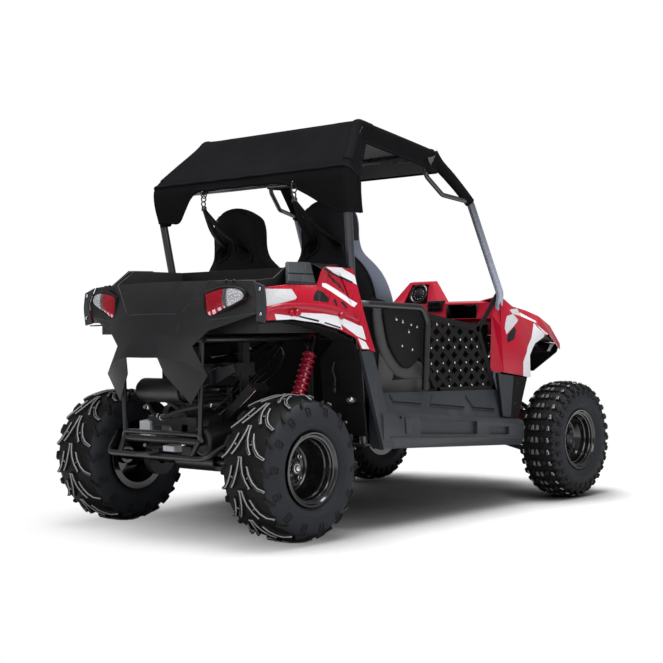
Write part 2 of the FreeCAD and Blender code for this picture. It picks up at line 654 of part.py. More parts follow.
def canopy():
    """Fabric roof with its side wraps and the flap behind the seats."""
    over = CAGE_TUBE + FABRIC + SEAT_GAP
    roof_rear, roof_front = V(*ROOF_REAR), V(*ROOF_FRONT)
    bend = V(*HOOP_BEND)

    def row(side_low, side_top, corner, middle):
        right = [side_low, side_top, corner, (corner[0] * 0.55, middle[1], middle[2])]
        return right + [middle] + [(-x, y, z) for x, y, z in reversed(right)]

    front_y = roof_front.y - over
    hem_z, hem_y = roof_front.z - VALANCE_DROP, front_y - FABRIC
    rows = [
        row((roof_front.x + over - FABRIC, hem_y, hem_z), (roof_front.x + FABRIC, hem_y - FABRIC, hem_z),
            (roof_front.x - 3 * FABRIC, hem_y - FABRIC, hem_z), (0, hem_y - FABRIC, hem_z)),
        row((roof_front.x + over, front_y, roof_front.z - SIDE_DROP),
            (roof_front.x + over, front_y, roof_front.z + 2),
            (roof_front.x - 6, front_y, roof_front.z + over), (0, front_y,
                                                               roof_front.z + over - CANOPY_SAG / 2)),
        row((roof_front.x + over - 6, 0.5 * (front_y + roof_rear.y),
             0.5 * (roof_front.z + roof_rear.z) - SIDE_DROP),
            (roof_front.x + over - 6, 0.5 * (front_y + roof_rear.y),
             0.5 * (roof_front.z + roof_rear.z) + 4),
            (roof_front.x - 12, 0.5 * (front_y + roof_rear.y), 0.5 * (roof_front.z + roof_rear.z) + over),
            (0, 0.5 * (front_y + roof_rear.y), 0.5 * (roof_front.z + roof_rear.z) + over - CANOPY_SAG)),
        row((roof_rear.x + over + 8, roof_rear.y - 10, roof_rear.z - SIDE_DROP - 12),
            (roof_rear.x + over, roof_rear.y, roof_rear.z),
            (roof_rear.x - 4, roof_rear.y + 6, roof_rear.z + over),
            (0, roof_rear.y + 6, roof_rear.z + over - CANOPY_SAG / 3)),
        row((bend.x + over, bend.y - 70, bend.z - 30), (bend.x + over, bend.y - 8, bend.z + 6),
            (bend.x - 6, bend.y + over, bend.z + 8), (0, bend.y + over - 4, bend.z - 6)),
        row((bend.x + over - 8, bend.y - 60, bend.z - SLEEVE_DROP),
            (bend.x + over - 6, bend.y - 14, bend.z - SLEEVE_DROP),
            (bend.x - 32, bend.y + over - 14, bend.z - SLEEVE_DROP + 6),
            (0, bend.y + over, bend.z - HEM_DROP)),
    ]
    rows[-1][3] = (bend.x * 0.52, bend.y + over, bend.z - HEM_DROP)
    rows[-1][5] = (-bend.x * 0.52, bend.y + over, bend.z - HEM_DROP)
    return grid_panel(rows, FABRIC)


# Body panels

SILL_TOP_REAR = 476.0
SILL_TOP_FRONT = 456.0
LEDGE_REAR = 408.0
LEDGE_FRONT = 332.0
SILL_LOW_REAR = 283.0
SILL_LOW_FRONT = 236.0
SILL_INNER_X = 458.0
SILL_FRONT_Y = CABIN_FRONT_Y + 20.0
SILL_REAR_Y = CABIN_REAR_Y - 6.0
STRIP_TOP_Z = 625.0
STRIP_WIDTH = 64.0
STRIP_TOP_Y = REAR_Y - 288.0
STRIP_DEPTH = 16.0
CHANNEL_DEPTH = 14.0
CHANNEL_SPAN = (0.365, 0.762)
CHANNEL_RISE = (0.43, 0.88)
POCKET_SPAN = (0.12, 0.274)
POCKET_RISE = (0.42, 0.73)


def sill_section(y, top, ledge, low):
    """Corner points of the sill at one station."""
    step, out = SILL_INNER_X + 24, SILL_HALF_WIDTH
    return [(SILL_INNER_X, y, low + 30), (SILL_INNER_X, y, top), (SILL_INNER_X + 8, y, top),
            (step, y, ledge + 10),
            (out - 6, y, ledge), (out, y, ledge - 12), (out, y, low + 34), (out - 14, y, low),
            (SILL_INNER_X + 14, y, low)]


def sill_corner(x, share, rise):
    """Point beside the sill: a share of the way from its front end to its rear end, and a share
    of the rise from its lower edge to the ledge."""
    low = SILL_LOW_FRONT + share * (SILL_LOW_REAR - SILL_LOW_FRONT)
    ledge = LEDGE_FRONT + share * (LEDGE_REAR - LEDGE_FRONT)
    return (x, SILL_FRONT_Y + share * (SILL_REAR_Y - SILL_FRONT_Y), low + rise * (ledge - low))


def side_recess(span, rises):
    """Block that cuts a recess into the outer face of the sill."""
    inner, outer = SILL_HALF_WIDTH - CHANNEL_DEPTH, SILL_HALF_WIDTH + CHANNEL_DEPTH
    low, high = rises
    return ruled([[sill_corner(inner, share, high), sill_corner(outer, share, high),
                   sill_corner(outer, share, low),
                   sill_corner(inner, share, low)] for share in span])


def rocker():
    """Sill moulding with its foot ledge, its side recesses and the upright strip behind the doorway."""
    sill = ruled([sill_section(SILL_FRONT_Y, SILL_TOP_FRONT, LEDGE_FRONT, SILL_LOW_FRONT),
                  sill_section(SILL_REAR_Y, SILL_TOP_REAR, LEDGE_REAR, SILL_LOW_REAR)])
    low_in, high_in = SILL_HALF_WIDTH - STRIP_DEPTH, FENDER_HALF_WIDTH - STRIP_DEPTH
    front, rear, top_front = SILL_REAR_Y - STRIP_WIDTH, SILL_REAR_Y, STRIP_TOP_Y - STRIP_WIDTH
    strip = ruled([
        [(low_in, front, SILL_LOW_REAR), (SILL_HALF_WIDTH, front, SILL_LOW_REAR),
         (SILL_HALF_WIDTH, rear, SILL_LOW_REAR), (low_in, rear, SILL_LOW_REAR)],
        [(high_in, top_front, STRIP_TOP_Z), (FENDER_HALF_WIDTH, top_front, STRIP_TOP_Z),
         (FENDER_HALF_WIDTH, STRIP_TOP_Y, STRIP_TOP_Z), (high_in, STRIP_TOP_Y, STRIP_TOP_Z)]])
    return joined([sill.cut(side_recess(CHANNEL_SPAN, CHANNEL_RISE)).cut(side_recess(POCKET_SPAN,
        POCKET_RISE)), strip])


FENDER_TOP_X = 460.0
FENDER_TOP_Z = 902.0
FENDER_TAIL_Y = REAR_Y + 138.0
ARCH_HIGH_Z = 735.0


def rear_fender():
    """Outer rear wing: from the arch edge up to the deck, tapering to the tip at the doorway."""
    low = [(FENDER_HALF_WIDTH, REAR_Y - 352, STRIP_TOP_Z + 1), (FENDER_HALF_WIDTH, REAR_Y - 287,
                                                                STRIP_TOP_Z + 8),
           (FENDER_HALF_WIDTH, REAR_Y - 262, 672), (FENDER_HALF_WIDTH - 2, REAR_Y - 170, 702),
           (FENDER_HALF_WIDTH - 8, REAR_Y - 86, 722), (FENDER_HALF_WIDTH - 24, REAR_Y + 30, ARCH_HIGH_Z),
           (FENDER_HALF_WIDTH - 42, FENDER_TAIL_Y, ARCH_HIGH_Z - 4)]
    high = [(FENDER_TOP_X, REAR_Y - 244, FENDER_TOP_Z - 6), (FENDER_TOP_X, REAR_Y - 225, FENDER_TOP_Z - 4),
            (FENDER_TOP_X, REAR_Y - 200, FENDER_TOP_Z - 3), (FENDER_TOP_X, REAR_Y - 140, FENDER_TOP_Z),
            (FENDER_TOP_X, REAR_Y - 104, 850), (FENDER_TOP_X - 2, REAR_Y + 30, 850),
            (FENDER_TOP_X - 6, FENDER_TAIL_Y, 838)]
    middle = []
    for a, b in zip(low, high):
        x, y, z = blend(a, b, 0.5)
        middle.append((x + 6, y, z))
    return grid_panel([high, middle, low], PLASTIC)


def fender_top():
    """Red shoulder between the wing's upper edge and the deck, in front of the pad."""
    outer = [(FENDER_TOP_X, REAR_Y - 244, FENDER_TOP_Z - 6), (FENDER_TOP_X, REAR_Y - 140, FENDER_TOP_Z)]
    inner = [(BED_HALF + 1, REAR_Y - 240, 922), (BED_HALF + 1, REAR_Y - 150, 927)]
    return grid_panel([inner, outer], PLASTIC)


BED_HALF = 400.0
BED_FRONT_Y = REAR_Y - 285.0
BED_REAR_Y = REAR_Y + 112.0
BED_FLOOR_Z = DECK_RAIL_Z + 18.0
BED_TOP_Z = 927.0
OPEN_RISE = 60.0


def bed_outline(rise, inset):
    """Side outline of the tub, raised at the rim and drawn in at floor and ends."""
    front, rear, floor = BED_FRONT_Y + inset, BED_REAR_Y - inset, BED_FLOOR_Z + inset
    return [(front, floor), (rear, floor), (rear, DECK_HEIGHT + rise),
            (REAR_Y + 40, DECK_HEIGHT + 8 + rise),
            (REAR_Y - 40, BED_TOP_Z + rise), (front, BED_TOP_Z + rise)]


def cargo_bed():
    """Open tub behind the seats, its side walls falling towards the tail."""
    outer = prism(bed_outline(0, 0), "x", -BED_HALF, BED_HALF)
    inner = prism(bed_outline(OPEN_RISE, PLASTIC), "x", -BED_HALF + PLASTIC, BED_HALF - PLASTIC)
    return outer.cut(inner)


def fender_pad():
    """Grooved pad on the slanted top of the rear wing."""
    low = [(FENDER_TOP_X + 1, REAR_Y - 100, 852), (FENDER_TOP_X, REAR_Y + 40, 855)]
    high = [(BED_HALF + 2, REAR_Y - 138, 930), (BED_HALF + 2, REAR_Y - 20, 928)]
    return grid_panel([high, low], 2 * PLASTIC)


LAMP_FACE = 6.0
LAMP_SLANT = 0.16


def fascia_points():
    """Corner points of the rear fascia for x >= 0."""
    y, top = TAIL_Y, DECK_HEIGHT
    return {
        "rim_mid": (0.0, BED_REAR_Y + SEAT_GAP, top), "rim_out": (396.0, BED_REAR_Y + SEAT_GAP, top),
        "top_mid": (0.0, y - 82, top + 3), "top_crease": (235.0, y - 98, top + 1),
        "top_out": (403.0, y - 135, top - 4), "tip": (428.0, y - 126, top - 63),
        "low_out": (422.0, y - 130, top - 111), "low_mid": (250.0, y - 74, top - 165),
        "neck": (190.0, y - 56, top - 215),
        "crease_mid": (120.0, y - 52, top - 107), "crease_low": (88.0, y - 44, top - 177),
        "face_mid": (0.0, y - 44, top - 107),
        "face_low": (0.0, y - 42, top - 177), "sill_out": (80.0, y, top - 252),
        "sill_mid": (0.0, y, top - 252),
        "leg_top": (176.0, y - 30, top - 267), "leg_tip": (255.0, y - 64, top - 312),
        "leg_in": (95.0, y - 18, top - 309),
        "leg_foot": (180.0, y - 58, top - 407),
    }


def rear_fascia():
    """Folded black tail panel with its creases and two pointed legs."""
    faces = [
        ("rim_mid", "top_mid", "top_crease", "rim_out"), ("rim_out", "top_crease", "top_out"),
        ("top_mid", "face_mid", "crease_mid", "top_crease"),
        ("top_crease", "crease_mid", "low_mid"), ("top_crease", "low_mid", "low_out"),
        ("top_crease", "low_out", "tip"), ("top_crease", "tip", "top_out"),
        ("face_mid", "face_low", "crease_low", "crease_mid"), ("crease_mid", "crease_low", "low_mid"),
        ("crease_low", "neck", "low_mid"), ("face_low", "sill_mid", "sill_out", "crease_low"),
        ("crease_low", "sill_out", "leg_top"), ("crease_low", "leg_top", "neck"),
        ("neck", "leg_top", "leg_tip"), ("sill_out", "leg_in", "leg_top"),
        ("leg_top", "leg_in", "leg_foot"), ("leg_top", "leg_foot", "leg_tip"),
    ]
    return symmetric_skin(fascia_points(), [tuple(reversed(f)) for f in faces], PLASTIC)


def tail_lamp():
    """Teardrop lamp let into the fascia."""
    outline = [(226, -43), (238, -117), (300, -97), (383, -62), (368, -31), (300, -27)]
    face_y, first_x = TAIL_Y - 88, outline[0][0]
    near = [(x, face_y - (x - first_x) * LAMP_SLANT + LAMP_FACE, DECK_HEIGHT + drop) for x, drop in outline]
    far = [(x, y - 34, z) for x, y, z in near]
    return ruled([far, near])


LINER_INNER_X = 305.0


def rear_liner():
    """Inner arch over one rear tyre, down to the sill."""
    line = [(FENDER_TAIL_Y - 4, ARCH_HIGH_Z - 10), (REAR_Y + 30, ARCH_HIGH_Z - 6), (REAR_Y - 86, 716),
            (REAR_Y - 170, 696), (REAR_Y - 258, 664), (REAR_Y - 296, 600), (REAR_Y - 312, 450),
            (REAR_Y - 326, 330)]
    outer_x = FENDER_HALF_WIDTH - PLASTIC - 6
    taper = [48, 32, 18, 8, 4, 0, 0, 0]
    inner = [(BED_HALF + 3 if z > BED_FLOOR_Z - 30 else LINER_INNER_X, y, z) for y, z in line]
    outer = [(outer_x - t, y, z) for (y, z), t in zip(line, taper)]
    return grid_panel([outer, inner], PLASTIC)


def front_fender():
    """Outer front wing, from the pillar foot forward to the nose."""
    x = FENDER_HALF_WIDTH
    points = {
        "back_low": (x - 42, CABIN_FRONT_Y + 158, 532), "back_mid": (x - 44, CABIN_FRONT_Y + 142, 756),
        "back_top": (x - 28, CABIN_FRONT_Y + 104, 836), "fold_low": (x, CABIN_FRONT_Y + 125, 527),
        "fold_mid": (x - 1, CABIN_FRONT_Y + 138, 706), "fold_top": (x - 13, CABIN_FRONT_Y + 126, 830),
        "crest_1": (x - 32, CABIN_FRONT_Y + 5, 786), "crest_2": (x - 45, CABIN_FRONT_Y - 111, 771),
        "crest_3": (x - 58, CABIN_FRONT_Y - 231, 748), "crest_4": (x - 70, CABIN_FRONT_Y - 337, 709),
        "nose": (x - 85, CABIN_FRONT_Y - 440, 633), "nose_low": (x - 85, CABIN_FRONT_Y - 442, 610),
        "arch_3": (x - 25, CABIN_FRONT_Y - 255, 678), "arch_2": (x - 6, CABIN_FRONT_Y - 115, 637),
        "arch_1": (x + 1, CABIN_FRONT_Y - 66, 592), "tip_low": (x + 5, CABIN_FRONT_Y - 62, 501),
    }
    faces = [
        ("back_low", "fold_low", "fold_mid", "back_mid"), ("back_mid", "fold_mid", "fold_top", "back_top"),
        ("fold_low", "tip_low", "arch_1", "fold_mid"), ("fold_mid", "arch_1", "arch_2", "crest_1"),
        ("fold_mid", "crest_1", "fold_top"), ("crest_1", "arch_2", "crest_2"),
        ("crest_2", "arch_2", "arch_3", "crest_3"), ("crest_3", "arch_3", "nose_low", "crest_4"),
        ("crest_4", "nose_low", "nose"),
    ]
    return plates(points, [tuple(reversed(f)) for f in faces], PLASTIC)


def hood_rows(lift=0.0):
    """Rows of points over the bonnet, from the windscreen edge forward to the nose."""
    x = FENDER_HALF_WIDTH
    half_rows = [
        ((x - 34, CABIN_FRONT_Y + 110, 830), (x - 250, CABIN_FRONT_Y - 48, 812), 816),
        ((x - 34, CABIN_FRONT_Y + 5, 788), (x - 250, CABIN_FRONT_Y - 90, 808), 814),
        ((x - 47, CABIN_FRONT_Y - 111, 773), (x - 260, CABIN_FRONT_Y - 160, 796), 804),
        ((x - 60, CABIN_FRONT_Y - 231, 750), (x - 270, CABIN_FRONT_Y - 250, 776), 788),
        ((x - 72, CABIN_FRONT_Y - 337, 711), (x - 280, CABIN_FRONT_Y - 365, 738), 748),
        ((x - 87, CABIN_FRONT_Y - 438, 636), (x - 290, CABIN_FRONT_Y - 486, 664), 676),
    ]
    rows = []
    for edge, mid, height in half_rows:
        row = [edge, mid, (0.0, mid[1], height), (-mid[0], mid[1], mid[2]), (-edge[0], edge[1], edge[2])]
        rows.append([(a, b, c + lift) for a, b, c in reversed(row)])
    return rows


def hood():
    """Bonnet between the two wing crests."""
    return grid_panel(hood_rows(), PLASTIC)


SLOT_COUNT = 4
SLOT_LOW_Z = 512.0
SLOT_PITCH = 19.0
SLOT_HEIGHT = 9.0
SLOT_HALF = 125.0
SLOT_REACH = 540.0


def front_fascia():
    """Black nose panel with its slanted cheeks."""
    x, y = FENDER_HALF_WIDTH, CABIN_FRONT_Y
    points = {
        "top_out": (x - 88, y - 440, 630), "top_in": (x - 290, y - 489, 660), "top_mid": (0.0, y - 490, 672),
        "wide": (x - 110, y - 456, 596), "mid_in": (x - 300, y - 514, 590), "mid_mid": (0.0, y - 522, 590),
        "low_out": (x - 250, y - 492, 512), "low_mid": (0.0, y - 508, 498),
    }
    faces = [
        ("top_mid", "mid_mid", "mid_in", "top_in"), ("top_in", "mid_in", "wide", "top_out"),
        ("mid_mid", "low_mid", "low_out", "mid_in"), ("mid_in", "low_out", "wide"),
    ]
    panel = symmetric_skin(points, faces, PLASTIC)
    for number in range(SLOT_COUNT):
        low = SLOT_LOW_Z + number * SLOT_PITCH
        panel = panel.cut(box((-SLOT_HALF, y - SLOT_REACH, low), (SLOT_HALF, y - SLOT_REACH / 2,
                                                                  low + SLOT_HEIGHT)))
    return panel


def head_lamp():
    """Wedge lamp on the front corner of the bonnet."""
    x, y = FENDER_HALF_WIDTH, CABIN_FRONT_Y
    front = [(x - 104, y - 452, 632), (x - 262, y - 498, 654), (x - 268, y - 506, 618),
             (x - 128, y - 464, 600)]
    back = [(a, b + 60, c) for a, b, c in front]
    return ruled([front, back])


def front_liner():
    """Inner arch above one front tyre with the black column under the wing."""
    line = [(SILL_FRONT_Y - 16, 345), (CABIN_FRONT_Y - 62, 503), (CABIN_FRONT_Y - 90, 590),
            (CABIN_FRONT_Y - 125, 634),
            (CABIN_FRONT_Y - 250, 668), (CABIN_FRONT_Y - 420, 640)]
    inset = [8, 6, 10, 14, 34, 92]
    outer = [(FENDER_HALF_WIDTH - PLASTIC - i, y, z) for (y, z), i in zip(line, inset)]
    inner = [(LINER_FRONT_X, y, z) for y, z in line]
    arch = grid_panel([inner, outer], PLASTIC)
    column = prism([(CABIN_FRONT_Y + 160, 524), (CABIN_FRONT_Y - 50, 500), (SILL_FRONT_Y - 10, 345),
                    (SILL_FRONT_Y - 6, 336),
                    (CABIN_FRONT_Y + 128, 352)], "x", SILL_INNER_X + 26, SILL_INNER_X + 36)
    return Part.makeCompound([arch, column])


# Cabin

FLOOR_SHEET = 3.0
LINER_FRONT_X = 300.0
FIREWALL_Y = CABIN_FRONT_Y - 60.0


def floor_pan():
    """Floor sheet with its sloping toe board."""
    top = FLOOR_HEIGHT + FRAME_TUBE
    line = [(CABIN_REAR_Y, top), (CABIN_FRONT_Y + 90, top), (FIREWALL_Y + 8, top + 130),
            (FIREWALL_Y, top + 400)]
    path = line + [(y + FLOOR_SHEET, z + FLOOR_SHEET) for y, z in reversed(line)]
    pan = prism(path, "x", -SILL_INNER_X, SILL_INNER_X)
    for side in (1, -1):
        corner = box((min(side * LINER_FRONT_X, side * 600), FIREWALL_Y - 50, top - 20),
                     (max(side * LINER_FRONT_X, side * 600), SILL_FRONT_Y - 10, top + 500))
        pan = pan.cut(corner)
    return pan.cut(bar(WHEEL_CENTRE, COLUMN_FOOT, COLUMN_RADIUS + 3))


DASH_HALF = 412.0
GLOVE_X = (-330.0, -178.0)
GLOVE_LOW_Z = 742.0
POD_X = (-128.0, 138.0)
POD_FOOT_Z = 800.0
POD_TOP_Z = 905.0
POD_CUT = 80.0


def dash():
    """Folded dash with the instrument pod's foot and two glove recesses."""
    y, low, high = CABIN_FRONT_Y, POD_FOOT_Z, POD_TOP_Z
    section = [(y - 40, low + 5), (y - 4, low + 15), (y + 50, low + 6), (y + 66, 740), (y + 30, 728),
               (y - 40, 735)]
    body = prism(section, "x", -DASH_HALF, DASH_HALF)
    recess = prism([(y + 4, low), (y + 90, low), (y + 90, GLOVE_LOW_Z), (y + 4, GLOVE_LOW_Z)], "x",
                   *GLOVE_X)
    left, right = POD_X
    pod = ruled([[(left, y - 40, low), (right, y - 40, low), (right, y + 40, low), (left, y + 40, low)],
                 [(-62, y - 34, high), (62, y - 34, high), (62, y - 6, high - 5), (-62, y - 6, high - 5)]])
    dial = ruled([[(-60, y + 20, low + 6), (70, y + 20, low + 6), (70, y + 60, low + 6),
                   (-60, y + 60, low + 6)],
                  [(-44, y - 14, high - 15), (44, y - 14, high - 15), (44, y + 20, high - 15),
                   (-44, y + 20, high - 15)]])
    above_hood = grid_panel(hood_rows(POD_CUT), POD_CUT + PLASTIC)
    return joined([body.cut(above_hood), pod]).cut(recess).cut(dial)


SEAT_BASE_Z = 430.0
SEAT_TOP_Z = 1180.0
SLOT_TOP_Z = 1035.0
CUSHION_HALF = 195.0
CUSHION_HEIGHT = 80.0
CUSHION_FRONT_Y = -70.0
CUSHION_REAR_Y = 320.0
BOLSTER_X = 170.0
BOLSTER_HALF = 32.0
BOLSTER_HEIGHT = 130.0
BACK_FRONT_Y = 250.0
BACK_THICKNESS = 95.0
BACK_LEAN = 4.5


def seat(side):
    """Bucket seat: cushion, bolsters and a one-piece back with two belt holes."""
    x, low = side * SEAT_OFFSET, SEAT_BASE_Z + CUSHION_HEIGHT / 4
    base = box((x - CUSHION_HALF, CUSHION_FRONT_Y, SEAT_BASE_Z),
               (x + CUSHION_HALF, CUSHION_REAR_Y, SEAT_BASE_Z + CUSHION_HEIGHT))
    bolsters = [box((x + s * BOLSTER_X - BOLSTER_HALF, CUSHION_FRONT_Y + 30, SEAT_BASE_Z + 30),
                    (x + s * BOLSTER_X + BOLSTER_HALF, CUSHION_REAR_Y - 20,
                     SEAT_BASE_Z + BOLSTER_HEIGHT)) for s in (1, -1)]
    right = [(150, low), (205, 640), (212, 860), (185, 960), (118, 1020), (100, 1130), (62, SEAT_TOP_Z)]
    outline = right + [(-a, b) for a, b in reversed(right)]
    back = prism([(x + a, b) for a, b in outline], "y", BACK_FRONT_Y, BACK_FRONT_Y + BACK_THICKNESS)
    for s in (1, -1):
        hole = [(30, SLOT_TOP_Z), (82, SLOT_TOP_Z), (82, SLOT_TOP_Z - 35), (48, SLOT_TOP_Z - 55)]
        back = back.cut(prism([(x + s * a, b) for a, b in hole], "y", BACK_FRONT_Y - 50,
                              BACK_FRONT_Y + BACK_THICKNESS + 50))
    back.rotate(V(x, BACK_FRONT_Y + 40, SEAT_BASE_Z), V(1, 0, 0), -BACK_LEAN)
    return joined([base, back] + bolsters)


def seat_base():
    """Two box pedestals that carry the seats."""
    top = FLOOR_HEIGHT + FRAME_TUBE + FLOOR_SHEET
    one = box((SEAT_OFFSET - 160, -40, top), (SEAT_OFFSET + 160, 300, SEAT_BASE_Z))
    return Part.makeCompound(both_sides(one))


def rear_bulkhead():
    """Sheet between the cabin and the engine bay."""
    y = CABIN_REAR_Y - 18
    return box((-418, y, FLOOR_HEIGHT + FRAME_TUBE + FLOOR_SHEET), (418, y + FLOOR_SHEET, DECK_RAIL_Z + 20))


NET_X = 458.0


def side_net():
    """Diamond net in the doorway, with its padded header."""
    top = [(CABIN_REAR_Y - 160, 770), (CABIN_FRONT_Y + 245, 700)]
    slope = (SILL_TOP_REAR - SILL_TOP_FRONT) / (SILL_REAR_Y - SILL_FRONT_Y)
    foot = [(y, SILL_TOP_FRONT + slope * (y - SILL_FRONT_Y) + SEAT_GAP) for y in (CABIN_FRONT_Y + 140,
        CABIN_REAR_Y - 400)]
    return prism(top + foot, "x", NET_X, NET_X + 5)


STRAP_HALF = 19.0
STRAP_DROP = 60.0
STRAP_SPREAD = 56.0


def strap_section(centre):
    """Corner points of one end of a shoulder strap."""
    x, y, z = centre
    return [(x - STRAP_HALF, y, z), (x + STRAP_HALF, y, z), (x + STRAP_HALF, y + 3, z),
            (x - STRAP_HALF, y + 3, z)]


def harness():
    """Shoulder straps from the rear hoop bar down to the seat backs."""
    pairs = []
    for side in (1, -1):
        x = side * SEAT_OFFSET
        ring = (x - 20, HOOP_BEND[1] + 8, HOOP_BEND[2] - STRAP_DROP)
        feet = [(x + s * STRAP_SPREAD, BACK_FRONT_Y + BACK_THICKNESS + 17, SLOT_TOP_Z - 25) for s in (1, -1)]
        pairs.append(joined([ruled([strap_section(ring), strap_section(foot)]) for foot in feet]))
    return Part.makeCompound(pairs)


# Rear drive

REAR_COILS = 13
PIVOT_RISE = 25.0
PIVOT_HALF = 120.0
REAR_SHOCK_X = 250.0
REAR_SHOCK_AHEAD = 160.0
BEARING_HALF = 95.0


def swing_arm():
    """Trailing arm with the axle bearing tube and the shock cross tube."""
    low, shock_y = REAR_Z + PIVOT_RISE, REAR_Y - REAR_SHOCK_AHEAD
    parts = [bar((s * 88, SWING_PIVOT_Y, low), (s * 60, REAR_Y, REAR_Z), 15) for s in (1, -1)]
    parts += [
        bar((-PIVOT_HALF, SWING_PIVOT_Y, low), (PIVOT_HALF, SWING_PIVOT_Y, low), 17),
        bar((-REAR_SHOCK_X, shock_y, low - 8), (REAR_SHOCK_X, shock_y, low - 8), 13),
        bar((-BEARING_HALF, REAR_Y, REAR_Z), (BEARING_HALF, REAR_Y, REAR_Z), 2 * AXLE_RADIUS - 1),
    ]
    bore = bar((-BEARING_HALF - 4, REAR_Y, REAR_Z), (BEARING_HALF + 4, REAR_Y, REAR_Z),
               AXLE_RADIUS + RUNNING_FIT)
    return joined(parts).cut(bore)


def rear_shock(side):
    """Red-sprung coil-over between the swing arm and the deck rail."""
    x = side * REAR_SHOCK_X
    head_y = CABIN_REAR_Y + 20 + FRAME_TUBE - 1 + EYE_HALF + SEAT_GAP
    return shock((x, REAR_Y - REAR_SHOCK_AHEAD, REAR_Z + 43.3), (x, head_y, DECK_RAIL_Z), REAR_COILS)


CASE_LEFT = 150.0
CASE_RIGHT = 96.0
CASE_FRONT = 90.0
CASE_REAR = 110.0
CASE_HEIGHT = 62.0
CLUTCH_RADIUS = 46.0
COVER_RADIUS = 34.0
COVER_DEPTH = 50.0
COVER_STEP = 6.0
CYLINDER_HALF = 48.0
CYLINDER_HEIGHT = 110.0
FIN_REACH = 16.0
FIN_COUNT = 6
FIN_PITCH = 16.0
FIN_THICKNESS = 6.0
CARB_RADIUS = 19.0


def engine():
    """Horizontal engine: crankcase, finned cylinder, round clutch covers and carburettor."""
    y, z = REAR_Y, CRADLE_Z + FRAME_TUBE - 1
    clutch, cover = (y + CASE_REAR / 2, z + CASE_HEIGHT / 2), (y - CASE_REAR / 2, z + CASE_HEIGHT * 0.55)
    outer = -CASE_RIGHT - COVER_DEPTH
    case = joined([
        box((-CASE_RIGHT, y - CASE_FRONT, z), (CASE_LEFT, y + CASE_REAR, z + CASE_HEIGHT)),
        bar((outer, *clutch), (-CASE_RIGHT, *clutch), CLUTCH_RADIUS),
        bar((outer, *cover), (-CASE_RIGHT, *cover), COVER_RADIUS),
        bar((outer - COVER_STEP, *clutch), (outer, *clutch), CLUTCH_RADIUS * 0.6),
        box((outer + COVER_STEP, cover[0], z + COVER_STEP), (-CASE_RIGHT, clutch[0],
                                                             z + CASE_HEIGHT - COVER_STEP)),
    ])
    top = z + CASE_HEIGHT
    cylinder = box((-CYLINDER_HALF, y - CYLINDER_HALF, top), (CYLINDER_HALF, y + CYLINDER_HALF,
                                                              top + CYLINDER_HEIGHT))
    fin = CYLINDER_HALF + FIN_REACH
    levels = [top + FIN_PITCH * (i + 0.5) for i in range(FIN_COUNT)]
    fins = [box((-fin, y - fin, low), (fin, y + fin, low + FIN_THICKNESS)) for low in levels]
    carburettor = bar((0, y - CYLINDER_HALF, top + CYLINDER_HEIGHT / 2),
                      (0, y - CASE_FRONT - fin / 2, top + CYLINDER_HEIGHT / 2), CARB_RADIUS)
    return joined([case, cylinder, carburettor] + fins)


CHAIN_HALF = 14.0
SPROCKET_LOW = 62.0
SPROCKET_HIGH = 42.0


def drive_case():
    """Closed chain case beside the swing arm."""
    x, y, z = RAIL_X + FRAME_TUBE + CHAIN_HALF + SEAT_GAP, REAR_Y, REAR_Z
    near, far = x - CHAIN_HALF, x + CHAIN_HALF
    lower = bar((near, y, z), (far, y, z), SPROCKET_LOW)
    upper = bar((near, y - 70, z + 150), (far, y - 70, z + 150), SPROCKET_HIGH)
    link = prism([(y - 58, z - 22), (y + 60, z + 18), (y - 30, z + 163), (y - 110, z + 138)], "x", near,
                 far)
    return joined([lower, upper, link]).cut(bar((near - 6, y, z), (far + 6, y, z), AXLE_RADIUS + 6))


MUFFLER_BACK = 122.0
MUFFLER_RISE = 165.0
MUFFLER_RADIUS = 42.0
MUFFLER_LEFT = 150.0
MUFFLER_RIGHT = 60.0
PIPE_RADIUS = 14.0


def muffler():
    """Round silencer behind the engine with its pipe."""
    y, z = REAR_Y + MUFFLER_BACK, CRADLE_Z + MUFFLER_RISE
    pipe = [(MUFFLER_LEFT - MUFFLER_RADIUS, y - MUFFLER_RADIUS / 2, z),
        (MUFFLER_LEFT - MUFFLER_RADIUS, y - 2 * MUFFLER_RADIUS, z),
            (CYLINDER_HALF + FIN_REACH, y - 2.5 * MUFFLER_RADIUS, z)]
    cap = 0.8 * MUFFLER_RADIUS
    return joined([bar((-MUFFLER_RIGHT, y, z), (MUFFLER_LEFT, y, z), MUFFLER_RADIUS),
                   tube(pipe, PIPE_RADIUS, 2 * PIPE_RADIUS),
                   bar((-MUFFLER_RIGHT - PIPE_RADIUS, y, z), (MUFFLER_LEFT + PIPE_RADIUS, y, z), cap)])


PLATE_LOW_Z = 545.0


def air_box():
    """Slanted filter box at the right of the engine with its cover plate."""
    front, rear = REAR_Y - 50, REAR_Y + 30
    section = [(-118, 388), (-140, 372), (-292, 500), (-270, 522)]
    slab = ruled([[(x, y, z) for x, z in section] for y in (front, rear)])
    plate = box((-210, front - 10, PLATE_LOW_Z), (-90, rear, PLATE_LOW_Z + 45))
    hanger = box((-DECK_RAIL_X + 4, front + 10, PLATE_LOW_Z + 35),
        (-DECK_RAIL_X + 30, front + 40, DECK_RAIL_Z))
    stay = box((-212, front + 20, 440), (-206, rear - 20, PLATE_LOW_Z + 15))
    return joined([slab, plate, stay, hanger])


HITCH_RADIUS = 8.0
GUARD_Z = 278.0
GUARD_INSET = 55.0


